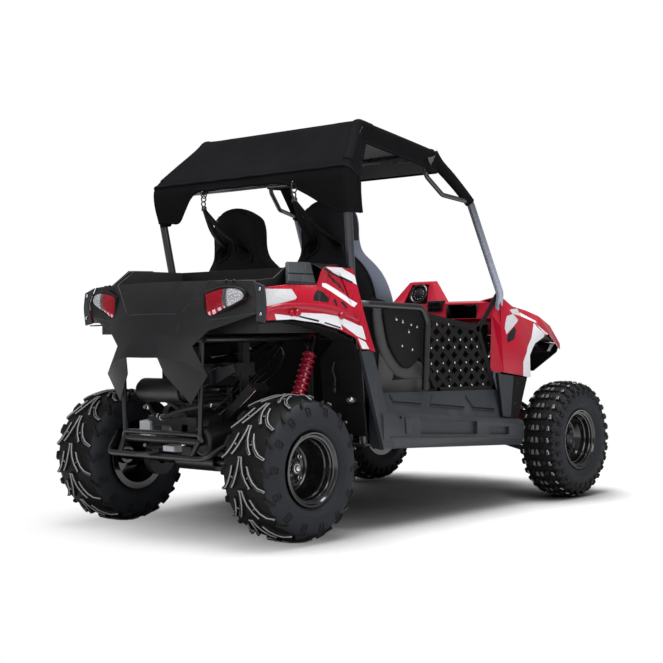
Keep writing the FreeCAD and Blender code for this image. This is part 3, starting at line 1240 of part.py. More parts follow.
def rear_guard():
    """Bent tube guard behind the engine with the hitch plate."""
    y, hitch_y = TAIL_Y - GUARD_INSET, TAIL_Y - GUARD_INSET + 30
    low = tube([(300, y - 90, CRADLE_Z + 10), (245, y, GUARD_Z), (-245, y, GUARD_Z),
                (-300, y - 90, CRADLE_Z + 10)], 10, 50)
    high = tube([(200, TAIL_RAIL_Y, CRADLE_Z), (190, y - 30, CRADLE_Z + 24), (-190, y - 30, CRADLE_Z + 24),
                 (-200, TAIL_RAIL_Y, CRADLE_Z)], 8, 30)
    stays = [bar((s * RAIL_X, TAIL_RAIL_Y + 6, CRADLE_Z), (s * (RAIL_X - 10), y, GUARD_Z),
                 THIN_TUBE) for s in (1, -1)]
    plate = box((-4 * HITCH_RADIUS, y - 10, GUARD_Z + 6), (4 * HITCH_RADIUS, hitch_y + 22, GUARD_Z + 12))
    plate = plate.cut(bar((0, hitch_y, GUARD_Z), (0, hitch_y, GUARD_Z + 20), HITCH_RADIUS))
    return joined([low, high, plate] + stays)


TOW_EYE_HALF = 4.0
EYE_Z = 312.0
BUMPER_LOW_Z = 340.0
BUMPER_HIGH_Z = 450.0
BUMPER_HALF = 110.0


def front_bumper():
    """Upright tube bumper ahead of the nose."""
    y, x = NOSE_Y + FRAME_TUBE, BUMPER_HALF
    side = tube([(x, NOSE_Y + 80, NOSE_RAIL_Z), (x, y, NOSE_RAIL_Z + 30), (x, y, BUMPER_HIGH_Z + 20),
                 (x, NOSE_Y + 70, NOSE_TOP_Z)],
                FRAME_TUBE, 45)
    across = [bar((-NOSE_RAIL_X, y, z), (NOSE_RAIL_X, y, z), THIN_TUBE + 1) for z in (BUMPER_LOW_Z,
        BUMPER_HIGH_Z)]
    width = 3 * HITCH_RADIUS
    eye = box((-width, y - TOW_EYE_HALF, EYE_Z - 2 * HITCH_RADIUS), (width, y + TOW_EYE_HALF, BUMPER_LOW_Z))
    eye = eye.cut(bar((0, y - 2 * TOW_EYE_HALF, EYE_Z), (0, y + 2 * TOW_EYE_HALF, EYE_Z), HITCH_RADIUS))
    return joined(both_sides(side) + across + [eye])


def skid_plate():
    """Bent plate under the nose."""
    y = NOSE_Y + 60
    low = NOSE_RAIL_Z - FRAME_TUBE
    return prism([(y + 20, low), (FRONT_Y + 150, low), (FRONT_Y + 150, low - 3), (y + 20, low - 3)], "x",
                 -NOSE_RAIL_X, NOSE_RAIL_X)


def nodes():
    """Every sub-part by its node name."""
    parts = {
        "frame": frame(), "roll_cage": roll_cage(), "canopy": canopy(), "floor_pan": floor_pan(),
        "dash": dash(),
        "seat_base": seat_base(), "rear_bulkhead": rear_bulkhead(), "harness": harness(),
        "cargo_bed": cargo_bed(),
        "rear_fascia": rear_fascia(), "hood": hood(), "front_fascia": front_fascia(),
        "steering_column": steering_column(), "steering_wheel": steering_wheel(),
        "rack_housing": rack_housing(),
        "rack_bar": rack_bar(), "rear_axle": rear_axle(), "swing_arm": swing_arm(), "engine": engine(),
        "drive_case": drive_case(), "muffler": muffler(), "air_box": air_box(), "rear_guard": rear_guard(),
        "front_bumper": front_bumper(), "skid_plate": skid_plate(),
        "fender_pads": Part.makeCompound(both_sides(fender_pad())),
        "head_lamps": Part.makeCompound(both_sides(head_lamp())),
    }
    pairs = {"side_bars": side_bar(), "rockers": rocker(), "rear_liners": rear_liner(),
             "front_liners": front_liner(),
             "tail_lamps": tail_lamp(), "side_nets": side_net(), "front_arms": front_arms(1),
             "front_shocks": front_shock(1), "rear_shocks": rear_shock(1)}
    for name, shape in pairs.items():
        parts[name] = Part.makeCompound(both_sides(shape))
    halves = {"rear_fender": Part.makeCompound([rear_fender(), fender_top()]),
              "front_fender": front_fender()}
    for name, shape in halves.items():
        parts[name + "_left"] = shape
        parts[name + "_right"] = mirrored(shape)
    for side, name in ((1, "left"), (-1, "right")):
        parts["seat_" + name] = seat(side)
        parts["knuckle_" + name] = knuckle(side)
        parts["front_rim_" + name], parts["front_tyre_" + name] = front_wheel(side)
        parts["rear_rim_" + name], parts["rear_tyre_" + name] = rear_wheel(side)
    return parts


# A sheet or a lighter tube is cut to fit round the pieces named beside it
GIVES_WAY = {
    "front_fender_left": ["roll_cage"], "front_fender_right": ["roll_cage"], "steering_column": ["dash"],
    "hood": ["roll_cage", "front_fender_left", "front_fender_right"], "fender_pads": ["cargo_bed"],
    "rear_fender_left": ["cargo_bed"], "rear_fender_right": ["cargo_bed"],
    "roll_cage": ["frame"], "canopy": ["roll_cage"], "floor_pan": ["frame", "roll_cage"],
    "front_bumper": ["frame"], "rear_guard": ["frame"], "rack_housing": ["frame"], "rockers": ["roll_cage"],
    "side_bars": ["roll_cage", "rockers"], "harness": ["seat_left", "seat_right"],
    "front_fascia": ["front_bumper", "head_lamps"], "front_liners": ["rockers", "head_lamps"],
    "rear_liners": ["rockers"], "rear_fascia": ["tail_lamps"], "muffler": ["engine"],
    "air_box": ["engine", "frame"], "dash": ["hood"],
}


CRUMB_VOLUME = 5000.0


def fitted(parts):
    """The same sub-parts with every sheet cut to fit round what passes through it."""
    grown = {"frame": frame(SEAT_GAP), "roll_cage": roll_cage(SEAT_GAP)}
    for node, others in GIVES_WAY.items():
        for other in others:
            parts[node] = parts[node].cut(grown.get(other, parts[other]))
        parts[node] = Part.makeCompound([s for s in parts[node].Solids if s.Volume > CRUMB_VOLUME])
    return parts


os.makedirs("parts", exist_ok=True)
for node, shape in fitted(nodes()).items():
    shape.exportStep("parts/" + node + ".step")
    print(node, "valid" if shape.isValid() else "NOT VALID", len(shape.Solids), round(shape.Volume / 1000),
          "cm3")
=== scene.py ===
# %% [markdown]
# # A small two-seat off-road vehicle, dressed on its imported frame
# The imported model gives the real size, the place of every part and what moves. This lesson keeps
# that frame fixed and gives each visible surface its form and finish. All lengths are in metres:
# the nose points to -Y, the vehicle's left side is +X and the ground is z = 0.

# %% Load the frame
import math

import bmesh
import bpy
import numpy as np
from mathutils import Matrix, Vector
from mathutils.bvhtree import BVHTree


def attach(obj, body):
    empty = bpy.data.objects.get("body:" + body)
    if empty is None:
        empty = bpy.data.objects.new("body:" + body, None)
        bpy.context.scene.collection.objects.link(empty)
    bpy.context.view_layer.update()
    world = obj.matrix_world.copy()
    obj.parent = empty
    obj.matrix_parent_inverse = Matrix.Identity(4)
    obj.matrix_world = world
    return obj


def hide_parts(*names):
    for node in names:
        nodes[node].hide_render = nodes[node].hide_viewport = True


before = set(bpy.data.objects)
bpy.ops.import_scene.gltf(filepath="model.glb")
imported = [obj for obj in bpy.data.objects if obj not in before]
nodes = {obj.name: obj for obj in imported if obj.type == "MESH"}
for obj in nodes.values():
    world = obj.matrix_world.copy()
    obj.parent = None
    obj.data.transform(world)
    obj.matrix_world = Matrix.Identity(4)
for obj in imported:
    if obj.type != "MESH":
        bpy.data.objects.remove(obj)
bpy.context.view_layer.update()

# %% [markdown]
# ## Camera
# The photograph was taken from behind the right rear wheel, at waist height, with a long lens. A
# camera could be placed by eye, but lining up wheels, roof and sills gave numbers that hold for
# the whole picture, so they are used as they are.

# %% Camera
FOCAL_PIXELS, PHOTO_PIXELS, SENSOR_MM = 1299.84, 663.0, 36.0
EYE = (-3.3531, 3.9374, .6923)
YAW, PITCH, ROLL = math.radians(221.02), math.radians(-.02), math.radians(-.54)


def placed_in_scene(name, data):
    """A new object in the scene that holds the data."""
    made = bpy.data.objects.new(name, data)
    bpy.context.scene.collection.objects.link(made)
    return made


ahead = Vector((-math.sin(YAW) * math.cos(PITCH), math.cos(YAW) * math.cos(PITCH), -math.sin(PITCH)))
level = Vector((math.cos(YAW), math.sin(YAW), 0.0))
above = level.cross(ahead)
camera_right = level * math.cos(ROLL) + above * math.sin(ROLL)
camera_up = above * math.cos(ROLL) - level * math.sin(ROLL)
lens = bpy.data.cameras.new("photo_view")
lens.lens, lens.sensor_width, lens.clip_end = FOCAL_PIXELS / PHOTO_PIXELS * SENSOR_MM, SENSOR_MM, 100.0
camera = placed_in_scene("photo_view", lens)
axes = Matrix((camera_right, camera_up, -ahead)).transposed().to_4x4()
camera.matrix_world = Matrix.Translation(EYE) @ axes
bpy.context.scene.camera = camera
bpy.context.scene.view_settings.view_transform = "Standard"
print("lens", round(lens.lens, 2), "mm")

# %% [markdown]
# ## Shader nodes in one line each
# A finish is a chain of small sums on places, noises and colours. Nodes could be wired one call
# at a time, but then the wiring hides the idea. These helpers add a node, set it and wire it in
# one call, so that a material reads like the sum that it is.

# %% Node helpers
def add_node(tree, kind, inputs, **settings):
    """A shader node with its settings. Each input, by name or number, takes a value or the
    output of another node; a colour is three numbers."""
    node = tree.nodes.new("ShaderNode" + kind)
    for name, value in settings.items():
        setattr(node, name, value)
    for name, value in inputs.items():
        socket = node.inputs[name]
        if isinstance(value, bpy.types.NodeSocket):
            tree.links.new(value, socket)
        else:
            socket.default_value = (*value, 1.0) if socket.type == "RGBA" else value
    return node


def calc(tree, operation, *values):
    """The result of a Math node on numbers or outputs."""
    return add_node(tree, "Math", dict(enumerate(values)), operation=operation).outputs[0]


def product(tree, first, *others):
    """All values multiplied."""
    for other in others:
        first = calc(tree, "MULTIPLY", first, other)
    return first


def ramp(tree, value, low, high):
    """0 below low, 1 above high and a smooth step between."""
    return add_node(tree, "MapRange", {"From Min": low, "From Max": high, "Value": value},
                    interpolation_type="SMOOTHSTEP").outputs["Result"]


def mixed(tree, share, first, second):
    """Two colours mixed by a share."""
    return add_node(tree, "Mix", {"Factor": share, "A": first, "B": second}, data_type="RGBA").outputs["Result"]


def place_in(tree):
    """Where a point lies in the vehicle's own metres."""
    return add_node(tree, "TexCoord", {}).outputs["Object"]


def split(tree, vector):
    """X, Y and Z of a vector."""
    return add_node(tree, "SeparateXYZ", {0: vector}).outputs


# %% [markdown]
# ## Studio
# The object stands on a pale sheet in white surroundings. A lit backdrop would work too, but
# a world that shows plain white to camera and glass rays, and lights everything else
# softly, keeps the colours as they are written. Gloss sees the dim fill as well, so black stays
# black. One strong lamp overhead gives the dark shadow under the vehicle, and weaker side lamps
# model its flanks. The sheet also carries a painted shadow: its colour darkens where something
# stands close above it. Further out it fades into the white.

# %% World, floor and lamps
WORLD_FILL = .36
FLOOR_WHITE, FLOOR_SHADOW = .93, .02
SHADOW_REACH, SHADOW_CURVE = .55, 1.5
FADE_MIDDLE, FADE_START, FADE_END = (-.25, -.35, 0.0), .75, 2.0


def ray_is_seen(tree):
    """1 for camera and glass rays, 0 for the rays that light the object or mirror in it."""
    path = add_node(tree, "LightPath", {})
    return calc(tree, "MAXIMUM", path.outputs["Is Camera Ray"], path.outputs["Is Transmission Ray"])


world = bpy.data.worlds.new("white_room")
bpy.context.scene.world = world
world.use_nodes = True
sky = world.node_tree.nodes["Background"]
sky.inputs["Color"].default_value = (1.0, 1.0, 1.0, 1.0)
strength = add_node(world.node_tree, "Mix", {"Factor": ray_is_seen(world.node_tree), "A": WORLD_FILL, "B": 1.0})
world.node_tree.links.new(strength.outputs["Result"], sky.inputs["Strength"])

floor_mesh = bpy.data.meshes.new("floor")
floor_mesh.from_pydata([(-40, -40, 0), (40, -40, 0), (40, 40, 0), (-40, 40, 0)], [], [(0, 1, 2, 3)])
floor = placed_in_scene("floor", floor_mesh)
floor_skin = bpy.data.materials.new("pale_floor")
floor_skin.use_nodes = True
tree = floor_skin.node_tree
tree.nodes.clear()
distance = add_node(tree, "VectorMath", {0: place_in(tree), 1: FADE_MIDDLE},
                    operation="DISTANCE").outputs["Value"]
# painted shadow: the floor's colour goes dark where something stands close above it
painted_shadow = add_node(tree, "AmbientOcclusion", {"Distance": SHADOW_REACH}, samples=8).outputs["AO"]
shadowed_paper = mixed(tree, calc(tree, "POWER", painted_shadow, SHADOW_CURVE), (FLOOR_SHADOW,) * 3, (FLOOR_WHITE,) * 3)
seen = product(tree, ramp(tree, distance, FADE_START, FADE_END), ray_is_seen(tree))
matt, glow = add_node(tree, "BsdfDiffuse", {"Color": shadowed_paper}), add_node(tree, "Emission", {})
shown = add_node(tree, "MixShader", {0: seen, 1: matt.outputs[0], 2: glow.outputs[0]})
add_node(tree, "OutputMaterial", {"Surface": shown.outputs[0]})
floor.data.materials.append(floor_skin)

for name, place, target_height, size, watts in (
        ("overhead", (-.3, .2, 4.2), .4, 3.0, 265), ("right_side", (-4.6, 1.2, 2.6), .6, 2.4, 62),
        ("behind", (-.6, 5.2, 2.3), .6, 2.2, 42), ("left_side", (4.4, -2.0, 2.6), .6, 2.4, 20)):
    light = bpy.data.lights.new(name, "AREA")
    light.shape, light.size, light.energy = "SQUARE", size, watts
    lamp = placed_in_scene(name, light)
    lamp.location, lamp.rotation_mode = place, "QUATERNION"
    lamp.rotation_quaternion = (Vector((0, 0, target_height)) - Vector(place)).to_track_quat("-Z", "Y")
print("studio ready")

# %% [markdown]
# ## Ways to make a surface
# Nearly every new piece is a grid of points worked out with numpy: two parameters in, one point
# out, and quads between neighbours. A profile can also be carried along a path, which gives
# tubes, straps and springs. Sculpting by hand would give the same look, but a formula can be
# read, repeated on the other side and changed in one place.

# %% Grids, tubes and rings
def grid_faces(rows, columns, wrap_rows=False, wrap_columns=False):
    """Quads between neighbouring points of a rows x columns grid, numbered row by row; a
    wrapped direction joins its last line to its first."""
    a, b = np.meshgrid(np.arange(rows - (not wrap_rows)), np.arange(columns - (not wrap_columns)),
                       indexing="ij")
    next_a, next_b = (a + 1) % rows, (b + 1) % columns
    quads = [a * columns + b, next_a * columns + b, next_a * columns + next_b, a * columns + next_b]
    return np.stack(quads, -1).reshape(-1, 4).tolist()


def mesh_from(name, points, faces, smooth=True):
    """A mesh object from an (n, 3) array of points and a list of faces."""
    mesh = bpy.data.meshes.new(name)
    mesh.from_pydata(np.asarray(points, float).reshape(-1, 3).tolist(), [], [list(map(int, f)) for f in faces])
    mesh.polygons.foreach_set("use_smooth", np.full(len(mesh.polygons), smooth))
    mesh.update()
    return placed_in_scene(name, mesh)


def several(parts):
    """Joins (points, faces) pairs into one pair."""
    points, faces, start = [], [], 0
    for p, f in parts:
        points.append(np.asarray(p, float).reshape(-1, 3))
        faces += [[int(k) + start for k in face] for face in f]
        start += len(points[-1])
    return np.concatenate(points), faces


def mirrored(part):
    """The same points and faces on the other side of the vehicle, still facing outwards."""
    points, faces = part
    return np.asarray(points, float).reshape(-1, 3) * (-1, 1, 1), [list(f)[::-1] for f in faces]


def unit(vectors):
    """Vectors shortened or stretched to length 1."""
    vectors = np.asarray(vectors, float)
    return vectors / np.linalg.norm(vectors, axis=-1, keepdims=True)


def around_circle(count):
    """Angles at even steps round a full turn."""
    return np.linspace(0, 2 * math.pi, count, endpoint=False)


def carried(rings, caps=True):
    """Points and faces of the skin over an (n, m, 3) array of closed rings, with closed ends."""
    count, around = rings.shape[:2]
    faces = grid_faces(count, around, wrap_columns=True)
    if caps:
        faces += [list(range(around))[::-1], list(range((count - 1) * around, count * around))]
    return rings.reshape(-1, 3), [f[::-1] for f in faces]


def tube(path, radius, around=12, caps=True):
    """A round tube: a circle of the given radius, or radii, carried along the path. Each circle
    is turned as little as possible from the one before."""
    path = np.asarray(path, float)
    along = unit(np.gradient(path, axis=0))
    side = np.cross(along[0], (0.0, 0.0, 1.0))
    if np.linalg.norm(side) < 1e-3:
        side = np.cross(along[0], (0.0, 1.0, 0.0))
    sides = []
    for direction in along:
        side = unit(side - direction * (side @ direction))
        sides.append(side)
    sides, turn = np.array(sides), around_circle(around)[None, :, None]
    ring = sides[:, None] * np.cos(turn) + np.cross(sides, along)[:, None] * np.sin(turn)
    radius = np.broadcast_to(np.asarray(radius, float), (len(path),))
    return carried(path[:, None] + ring * radius[:, None, None], caps)


def ribbon(path, width, thickness, across):
    """Flat webbing: a thin oblong carried along the path, its wide side along the across
    vectors. The width is one number or one for each point."""
    path = np.asarray(path, float)
    along = unit(np.gradient(path, axis=0))
    wide = np.broadcast_to(np.asarray(across, float), path.shape)
    wide = unit(wide - along * np.sum(wide * along, axis=1)[:, None])
    out = np.cross(along, wide) * thickness
    wide = wide * np.broadcast_to(np.asarray(width, float), (len(path),))[:, None]
    corners = ((-.5, -.5), (.5, -.5), (.5, .5), (-.5, .5))
    return carried(np.stack([path + wide * a + out * b for a, b in corners], 1))


def spun(profile, centre, around=64, axis=(1.0, 0.0, 0.0), closed=False):
    """A profile of (offset along the axis, radius) turned about it; a closed profile is a ring
    round the axis, an open one starts and ends on the axis."""
    profile, axis = np.asarray(profile, float), unit(axis)
    first = unit(np.cross(axis, (0.0, 0.0, 1.0) if abs(axis[2]) < .9 else (0.0, 1.0, 0.0)))
    turn = around_circle(around)[:, None]
    ring = first * np.cos(turn) + np.cross(axis, first) * np.sin(turn)
    points = np.asarray(centre) + profile[:, None, :1] * axis + profile[:, None, 1:] * ring[None]
    return points.reshape(-1, 3), grid_faces(len(profile), around, wrap_rows=closed, wrap_columns=True)


def smooth_line(points, count):
    """A line of count points through the given ones, by a Catmull-Rom curve at even steps of
    length."""
    p = np.asarray(points, float)
    p = np.concatenate([2 * p[:1] - p[1:2], p, 2 * p[-1:] - p[-2:-1]])
    t = np.linspace(0, 1, 24, endpoint=False)[:, None]
    runs = [.5 * (2 * b + (c - a) * t + (2 * a - 5 * b + 4 * c - d) * t**2 + (3 * b - a - 3 * c + d) * t**3)
            for a, b, c, d in zip(p, p[1:], p[2:], p[3:])]
    line = np.concatenate(runs + [p[-2:-1]])
    gone = np.concatenate([[0], np.cumsum(np.linalg.norm(np.diff(line, axis=0), axis=1))])
    return np.stack([np.interp(np.linspace(0, gone[-1], count), gone, line[:, k]) for k in range(3)], 1)


def spread(values, count):
    """Values given at even steps of a line, read off at count even steps; (share, value) pairs
    may stand for uneven steps."""
    values = np.asarray(values, float)
    at = values[:, 0] if values.ndim == 2 else np.linspace(0, 1, len(values))
    return np.interp(np.linspace(0, 1, count), at, values[:, 1] if values.ndim == 2 else values)


# %% [markdown]
# Every finished piece rides on a body of the frame and has its faces pointing outwards. The
# helpers below do this for all of them, and put the same piece on both sides where the vehicle is
# symmetric.

# %% Finishing a piece
def turn_outwards(piece, merge=False):
    """Makes every separate closed shell of a piece face outwards, with doubled points and
    needless edges merged if asked."""
    work = bmesh.new()
    work.from_mesh(piece.data)
    if merge:
        bmesh.ops.remove_doubles(work, verts=work.verts, dist=2e-5)
        bmesh.ops.dissolve_limit(work, angle_limit=math.radians(1.0), verts=work.verts, edges=work.edges)
    bmesh.ops.recalc_face_normals(work, faces=work.faces)
    work.to_mesh(piece.data)
    work.free()


def settle(piece, body, finishes, stands_for=()):
    """Gives a piece its materials and its body, and the nodes that it stands for."""
    for finish in finishes if isinstance(finishes, list) else [finishes]:
        piece.data.materials.append(finish)
    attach(piece, body)
    if stands_for:
        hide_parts(*stands_for)
    return piece


def rounded(piece, width, steps=2, angle=24.0):
    """A Bevel modifier on every fold sharper than the angle, with even shading kept across it."""
    bevel = piece.modifiers.new("rounded", "BEVEL")
    bevel.width, bevel.segments, bevel.limit_method = width, steps, "ANGLE"
    bevel.angle_limit, bevel.harden_normals = math.radians(angle), True
    piece.data.polygons.foreach_set("use_smooth", np.ones(len(piece.data.polygons), bool))


def one_piece(name, parts, slot, finishes, bevel=0.0, body="chassis", stands_for=(), smooth=True):
    """Joins (points, faces) parts as one piece, with its sharp edges bevelled if asked. Blender
    turns a shell by its furthest face, which can fail on a long bent one, so a part whose
    signed volume is below 0 is turned over."""
    points, faces = several(parts)
    piece = mesh_from(name, points, faces, smooth)
    turn_outwards(piece)
    piece.data.calc_loop_triangles()
    corner = np.zeros(3 * len(piece.data.loop_triangles), int)
    piece.data.loop_triangles.foreach_get("vertices", corner)
    a, b, c = points[corner.reshape(-1, 3)].transpose(1, 0, 2)
    part_of = np.repeat(np.arange(len(parts)), [np.size(p) // 3 for p, _ in parts])
    inside_out = np.bincount(part_of[corner[::3]], np.sum(a * np.cross(b, c), axis=1)) < 0
    for face in piece.data.polygons if inside_out.any() else ():
        if inside_out[part_of[face.vertices[0]]]:
            face.flip()
    settle(piece, body, finishes, stands_for)
    if bevel:
        rounded(piece, bevel, angle=30.0)
    print(name, "of", len(faces), "faces on", body)
    return piece


def both_sides(name, parts, slot, finish, bevel=0.0, **more):
    """One piece from parts of the vehicle's left side and their mirror images."""
    return one_piece(name, parts + [mirrored(p) for p in parts], slot, finish, bevel, **more)


def left_and_right(parts):
    """The words left and right, each with its own copy of the parts of the left side."""
    return ("left", parts), ("right", [mirrored(p) for p in parts])


print("shape helpers ready")

# %% [markdown]
# ## Shared surface effects
# Mould grain, dust and weave show on many materials. Each is one shader node group with
# named inputs, built once and placed with its own values. Groups only give out colours, masks,
# values and normals; the shaders themselves stay in the materials.

# %% Grain, dust and weave groups
def noise(tree, where, scale, detail=3.0):
    """A Noise Texture's value at a place."""
    inputs = {"Scale": scale, "Detail": detail, "Roughness": .55, "Vector": where}
    return add_node(tree, "TexNoise", inputs).outputs["Fac"]


def bumped(tree, height, strength, distance):
    """A normal bent by a height."""
    return add_node(tree, "Bump", {"Strength": strength, "Distance": distance,
                                   "Height": height}).outputs["Normal"]


def new_group(name, given, default, outputs):
    """An empty shader node group with one number as input and the named numbers as outputs."""
    group = bpy.data.node_groups.new(name, "ShaderNodeTree")
    group.interface.new_socket(given, in_out="INPUT", socket_type="NodeSocketFloat").default_value = default
    for socket in outputs:
        group.interface.new_socket(socket, in_out="OUTPUT", socket_type="NodeSocketFloat")
    return group, group.nodes.new("NodeGroupInput").outputs[given], group.nodes.new("NodeGroupOutput").inputs


def grain_group():
    """Mould grain: fine noise as height, and a slow cloud that varies the gloss."""
    group, scale, out = new_group("mould_grain", "Scale", 900.0, ["Height", "Cloud"])
    where = place_in(group)
    scaled = add_node(group, "VectorMath", {0: where, "Scale": scale}, operation="SCALE").outputs[0]
    group.links.new(noise(group, scaled, 1.0, 2.0), out["Height"])
    group.links.new(noise(group, where, 7.0, 4.0), out["Cloud"])
    return group


def dust_group():
    """Light dust that lies on faces that look up: the height of the surface's normal times a
    broken cloud."""
    group, amount, out = new_group("dust", "Amount", .3, ["Mask"])
    up = split(group, add_node(group, "NewGeometry", {}).outputs["Normal"])["Z"]
    cloud = ramp(group, noise(group, place_in(group), 14.0, 5.0), .42, .75)
    group.links.new(product(group, cloud, ramp(group, up, .1, .95), amount), out["Mask"])
    return group


def weave_group():
    """Plain weave: two sets of waves at right angles in the piece's own UV map, in metres, one
    over the other by turns."""
    group, threads, out = new_group("weave", "Threads", 900.0, ["Height"])
    parts = split(group, add_node(group, "TexCoord", {}).outputs["UV"])
    turn = product(group, threads, math.pi)
    waves = [calc(group, "SINE", product(group, parts[axis], turn)) for axis in "XY"]
    group.links.new(calc(group, "ABSOLUTE", product(group, *waves)), out["Height"])
    return group


GRAIN, DUST, WEAVE = grain_group(), dust_group(), weave_group()


def effect(tree, group, **values):
    """The outputs of a node group placed in a material with its own values."""
    node = tree.nodes.new("ShaderNodeGroup")
    node.node_tree = group
    for name, value in values.items():
        node.inputs[name].default_value = value
    return node.outputs


SOCKETS = {"coat": "Coat Weight", "shine": "Specular IOR Level", "sheen": "Sheen Weight",
           "colour": "Base Color"}


def principled(name, metallic=0.0, roughness=.5, **sockets):
    """A new material with plain values on its Principled shader; gives the material, its tree
    and a function that wires an output to one of the shader's inputs."""
    material = bpy.data.materials.new(name)
    material.use_nodes = True
    tree = material.node_tree
    inputs = tree.nodes["Principled BSDF"].inputs
    for socket, value in {"Metallic": metallic, "Roughness": roughness, **sockets}.items():
        inputs[SOCKETS.get(socket, socket)].default_value = value
    return material, tree, lambda socket, value: tree.links.new(value, inputs[socket])


def times(colour, factor):
    """A colour made darker or lighter."""
    return tuple(c * factor for c in colour)


# %% [markdown]
# ## Finishes
# The black and dark-grey panels are moulded with a fine leather-like grain and pick up pale
# dust. The red panels are glossy. The cage is satin paint, tyres are chalky blue-black rubber,
# and the castings behind the seats are dull aluminium. Each finish below is a colour with a slow
# variation, a roughness that follows it and a small height for the surface.

# %% Plastics, paint and rubber
DUST_TINT = (.24, .23, .22)


def moulded(name, colour, roughness, grain=850.0, bump=.25, dust=.25, spread=.35, painted_reflection=None, **sockets):
    """Grained plastic or paint: the colour clouds by the spread, and dust lightens upper faces.
    A pale colour painted in as a reflection takes over low down towards the nose."""
    material, tree, wire = principled(name, roughness=roughness, **sockets)
    skin = effect(tree, GRAIN, Scale=grain)
    base = mixed(tree, skin["Cloud"], times(colour, 1 - spread), times(colour, 1 + spread))
    base = mixed(tree, effect(tree, DUST, Amount=dust)["Mask"], base, DUST_TINT)
    if painted_reflection:
        ahead = ramp(tree, product(tree, split(tree, place_in(tree))["Y"], -1.0), .14, .42)
        base = mixed(tree, ahead, base, painted_reflection)
    wire("Base Color", base)
    wire("Roughness", calc(tree, "MULTIPLY_ADD", skin["Cloud"], .24, roughness - .12))
    wire("Normal", bumped(tree, skin["Height"], bump, .0006))
    return material


panel_black = moulded("panel_black", (.0078, .0078, .0092), .46, bump=.35, dust=.06, shine=.3)
panel_grey = moulded("panel_grey", (.024, .0275, .033), .46, bump=.3, dust=.08, spread=.2, shine=.35)
liner_black = moulded("liner_black", (.006, .006, .0065), .62, bump=.3, dust=.06, shine=.15)
frame_paint = moulded("frame_paint", (.0045, .0047, .0055), .32, 500, .1, .02, coat=.15)
# the cage's front pillars take a pale bluish painted reflection towards the nose
cage_paint = moulded("cage_paint", (.022, .024, .03), .26, 400, .08, .05, painted_reflection=(.33, .36, .45), coat=.4)
red_gloss = moulded("red_gloss", (.34, .005, .022), .3, 300, .04, .03, .06, coat=.2, shine=.3)
rim_gloss = moulded("rim_gloss", (.005, .005, .006), .16, 300, .03, 0, coat=.4)
exhaust_paint = moulded("exhaust_paint", (.005, .005, .0055), .45, 700, .2, .06)
tyre_rubber = moulded("tyre_rubber", (.0175, .019, .023), .7, 600, .3, .06, shine=.2)
tread_rubber = moulded("tread_rubber", (.006, .006, .0066), .66, 600, .3, .03, shine=.15)
lug_rubber = moulded("lug_rubber", (.0075, .0075, .0082), .6, 600, .3, .04, shine=.2)
# pale grey on the lugs' bevelled edges and on the pale lug tops is painted highlight
lug_edge_highlight = moulded("lug_edge_highlight", (.27, .27, .28), .7, 600, .3, .1, shine=.2)
lug_top_highlight = moulded("lug_top_highlight", (.1, .1, .104), .7, 600, .2, 0, shine=.2)
webbing_black = moulded("webbing_black", (.01, .01, .011), .75, 1500, .5, .05, shine=.12)
grip_rubber = moulded("grip_rubber", (.012, .012, .012), .6, 900, .4, .05, shine=.3)
hook_black = moulded("hook_black", (.012, .012, .013), .22, 300, .05, 0, coat=.5)


# %% Metals
def bare_metal(name, colour, roughness, metallic=1.0, bump=.2):
    """Cast or machined metal: its colour and gloss cloud, and the casting skin is a small bump."""
    material, tree, wire = principled(name, metallic, roughness)
    skin = effect(tree, GRAIN, Scale=600.0)
    wire("Base Color", mixed(tree, skin["Cloud"], times(colour, .6), colour))
    wire("Roughness", calc(tree, "MULTIPLY_ADD", skin["Cloud"], .3, roughness - .15))
    wire("Normal", bumped(tree, skin["Height"], bump, .0008))
    return material


cast_metal = bare_metal("cast_metal", (.78, .8, .85), .5, .15, .35)
dark_casting = bare_metal("dark_casting", (.035, .035, .038), .38, .6, .3)
cover_grey = bare_metal("cover_grey", (.13, .135, .145), .42, .6, .3)
bright_steel = bare_metal("bright_steel", (.62, .62, .64), .24, bump=.08)
print("paints, plastics, rubber and metals:", len(bpy.data.materials))


# %% Cloth
def fabric(name, colour, threads, sheen=.04, shine=.08, shade_grey=None):
    """Woven cloth on the piece's UV map in metres, with a slow cloud of wear; with a grey given for
    the shade, the cloth near the middle of the vehicle is that dark grey as painted shade, and mid
    grey low down."""
    material, tree, wire = principled(name, roughness=.9, sheen=sheen, shine=shine)
    where = place_in(tree)
    cloud, fine = noise(tree, where, 9.0, 5.0), noise(tree, where, 420.0, 2.0)
    wear = calc(tree, "MULTIPLY_ADD", fine, .5, product(tree, cloud, .5))
    colour = mixed(tree, wear, times(colour, .55), times(colour, 1.5))
    if shade_grey:
        parts = split(tree, where)
        outer = ramp(tree, calc(tree, "ABSOLUTE", parts["X"]), .3, .33)
        colour = mixed(tree, ramp(tree, parts["Z"], .72, .86), times((1, 1, 1.04), shade_grey * 5), colour)
        colour = mixed(tree, outer, times((1, 1, 1.1), shade_grey), colour)
    wire("Base Color", colour)
    wire("Normal", bumped(tree, effect(tree, WEAVE, Threads=threads)["Height"], .5, .0005))
    return material


roof_cloth = fabric("roof_cloth", (.0088, .0088, .0096), 700, 0, 0)
roof_lining = fabric("roof_lining", (.085, .085, .088), 500, .05)
seat_cloth = fabric("seat_cloth", (.0125, .0125, .0145), 900)
# the seats' inner sides are painted dark grey as painted shade
seat_side = fabric("seat_side", (.105, .115, .15), 700, .1, shade_grey=.014)


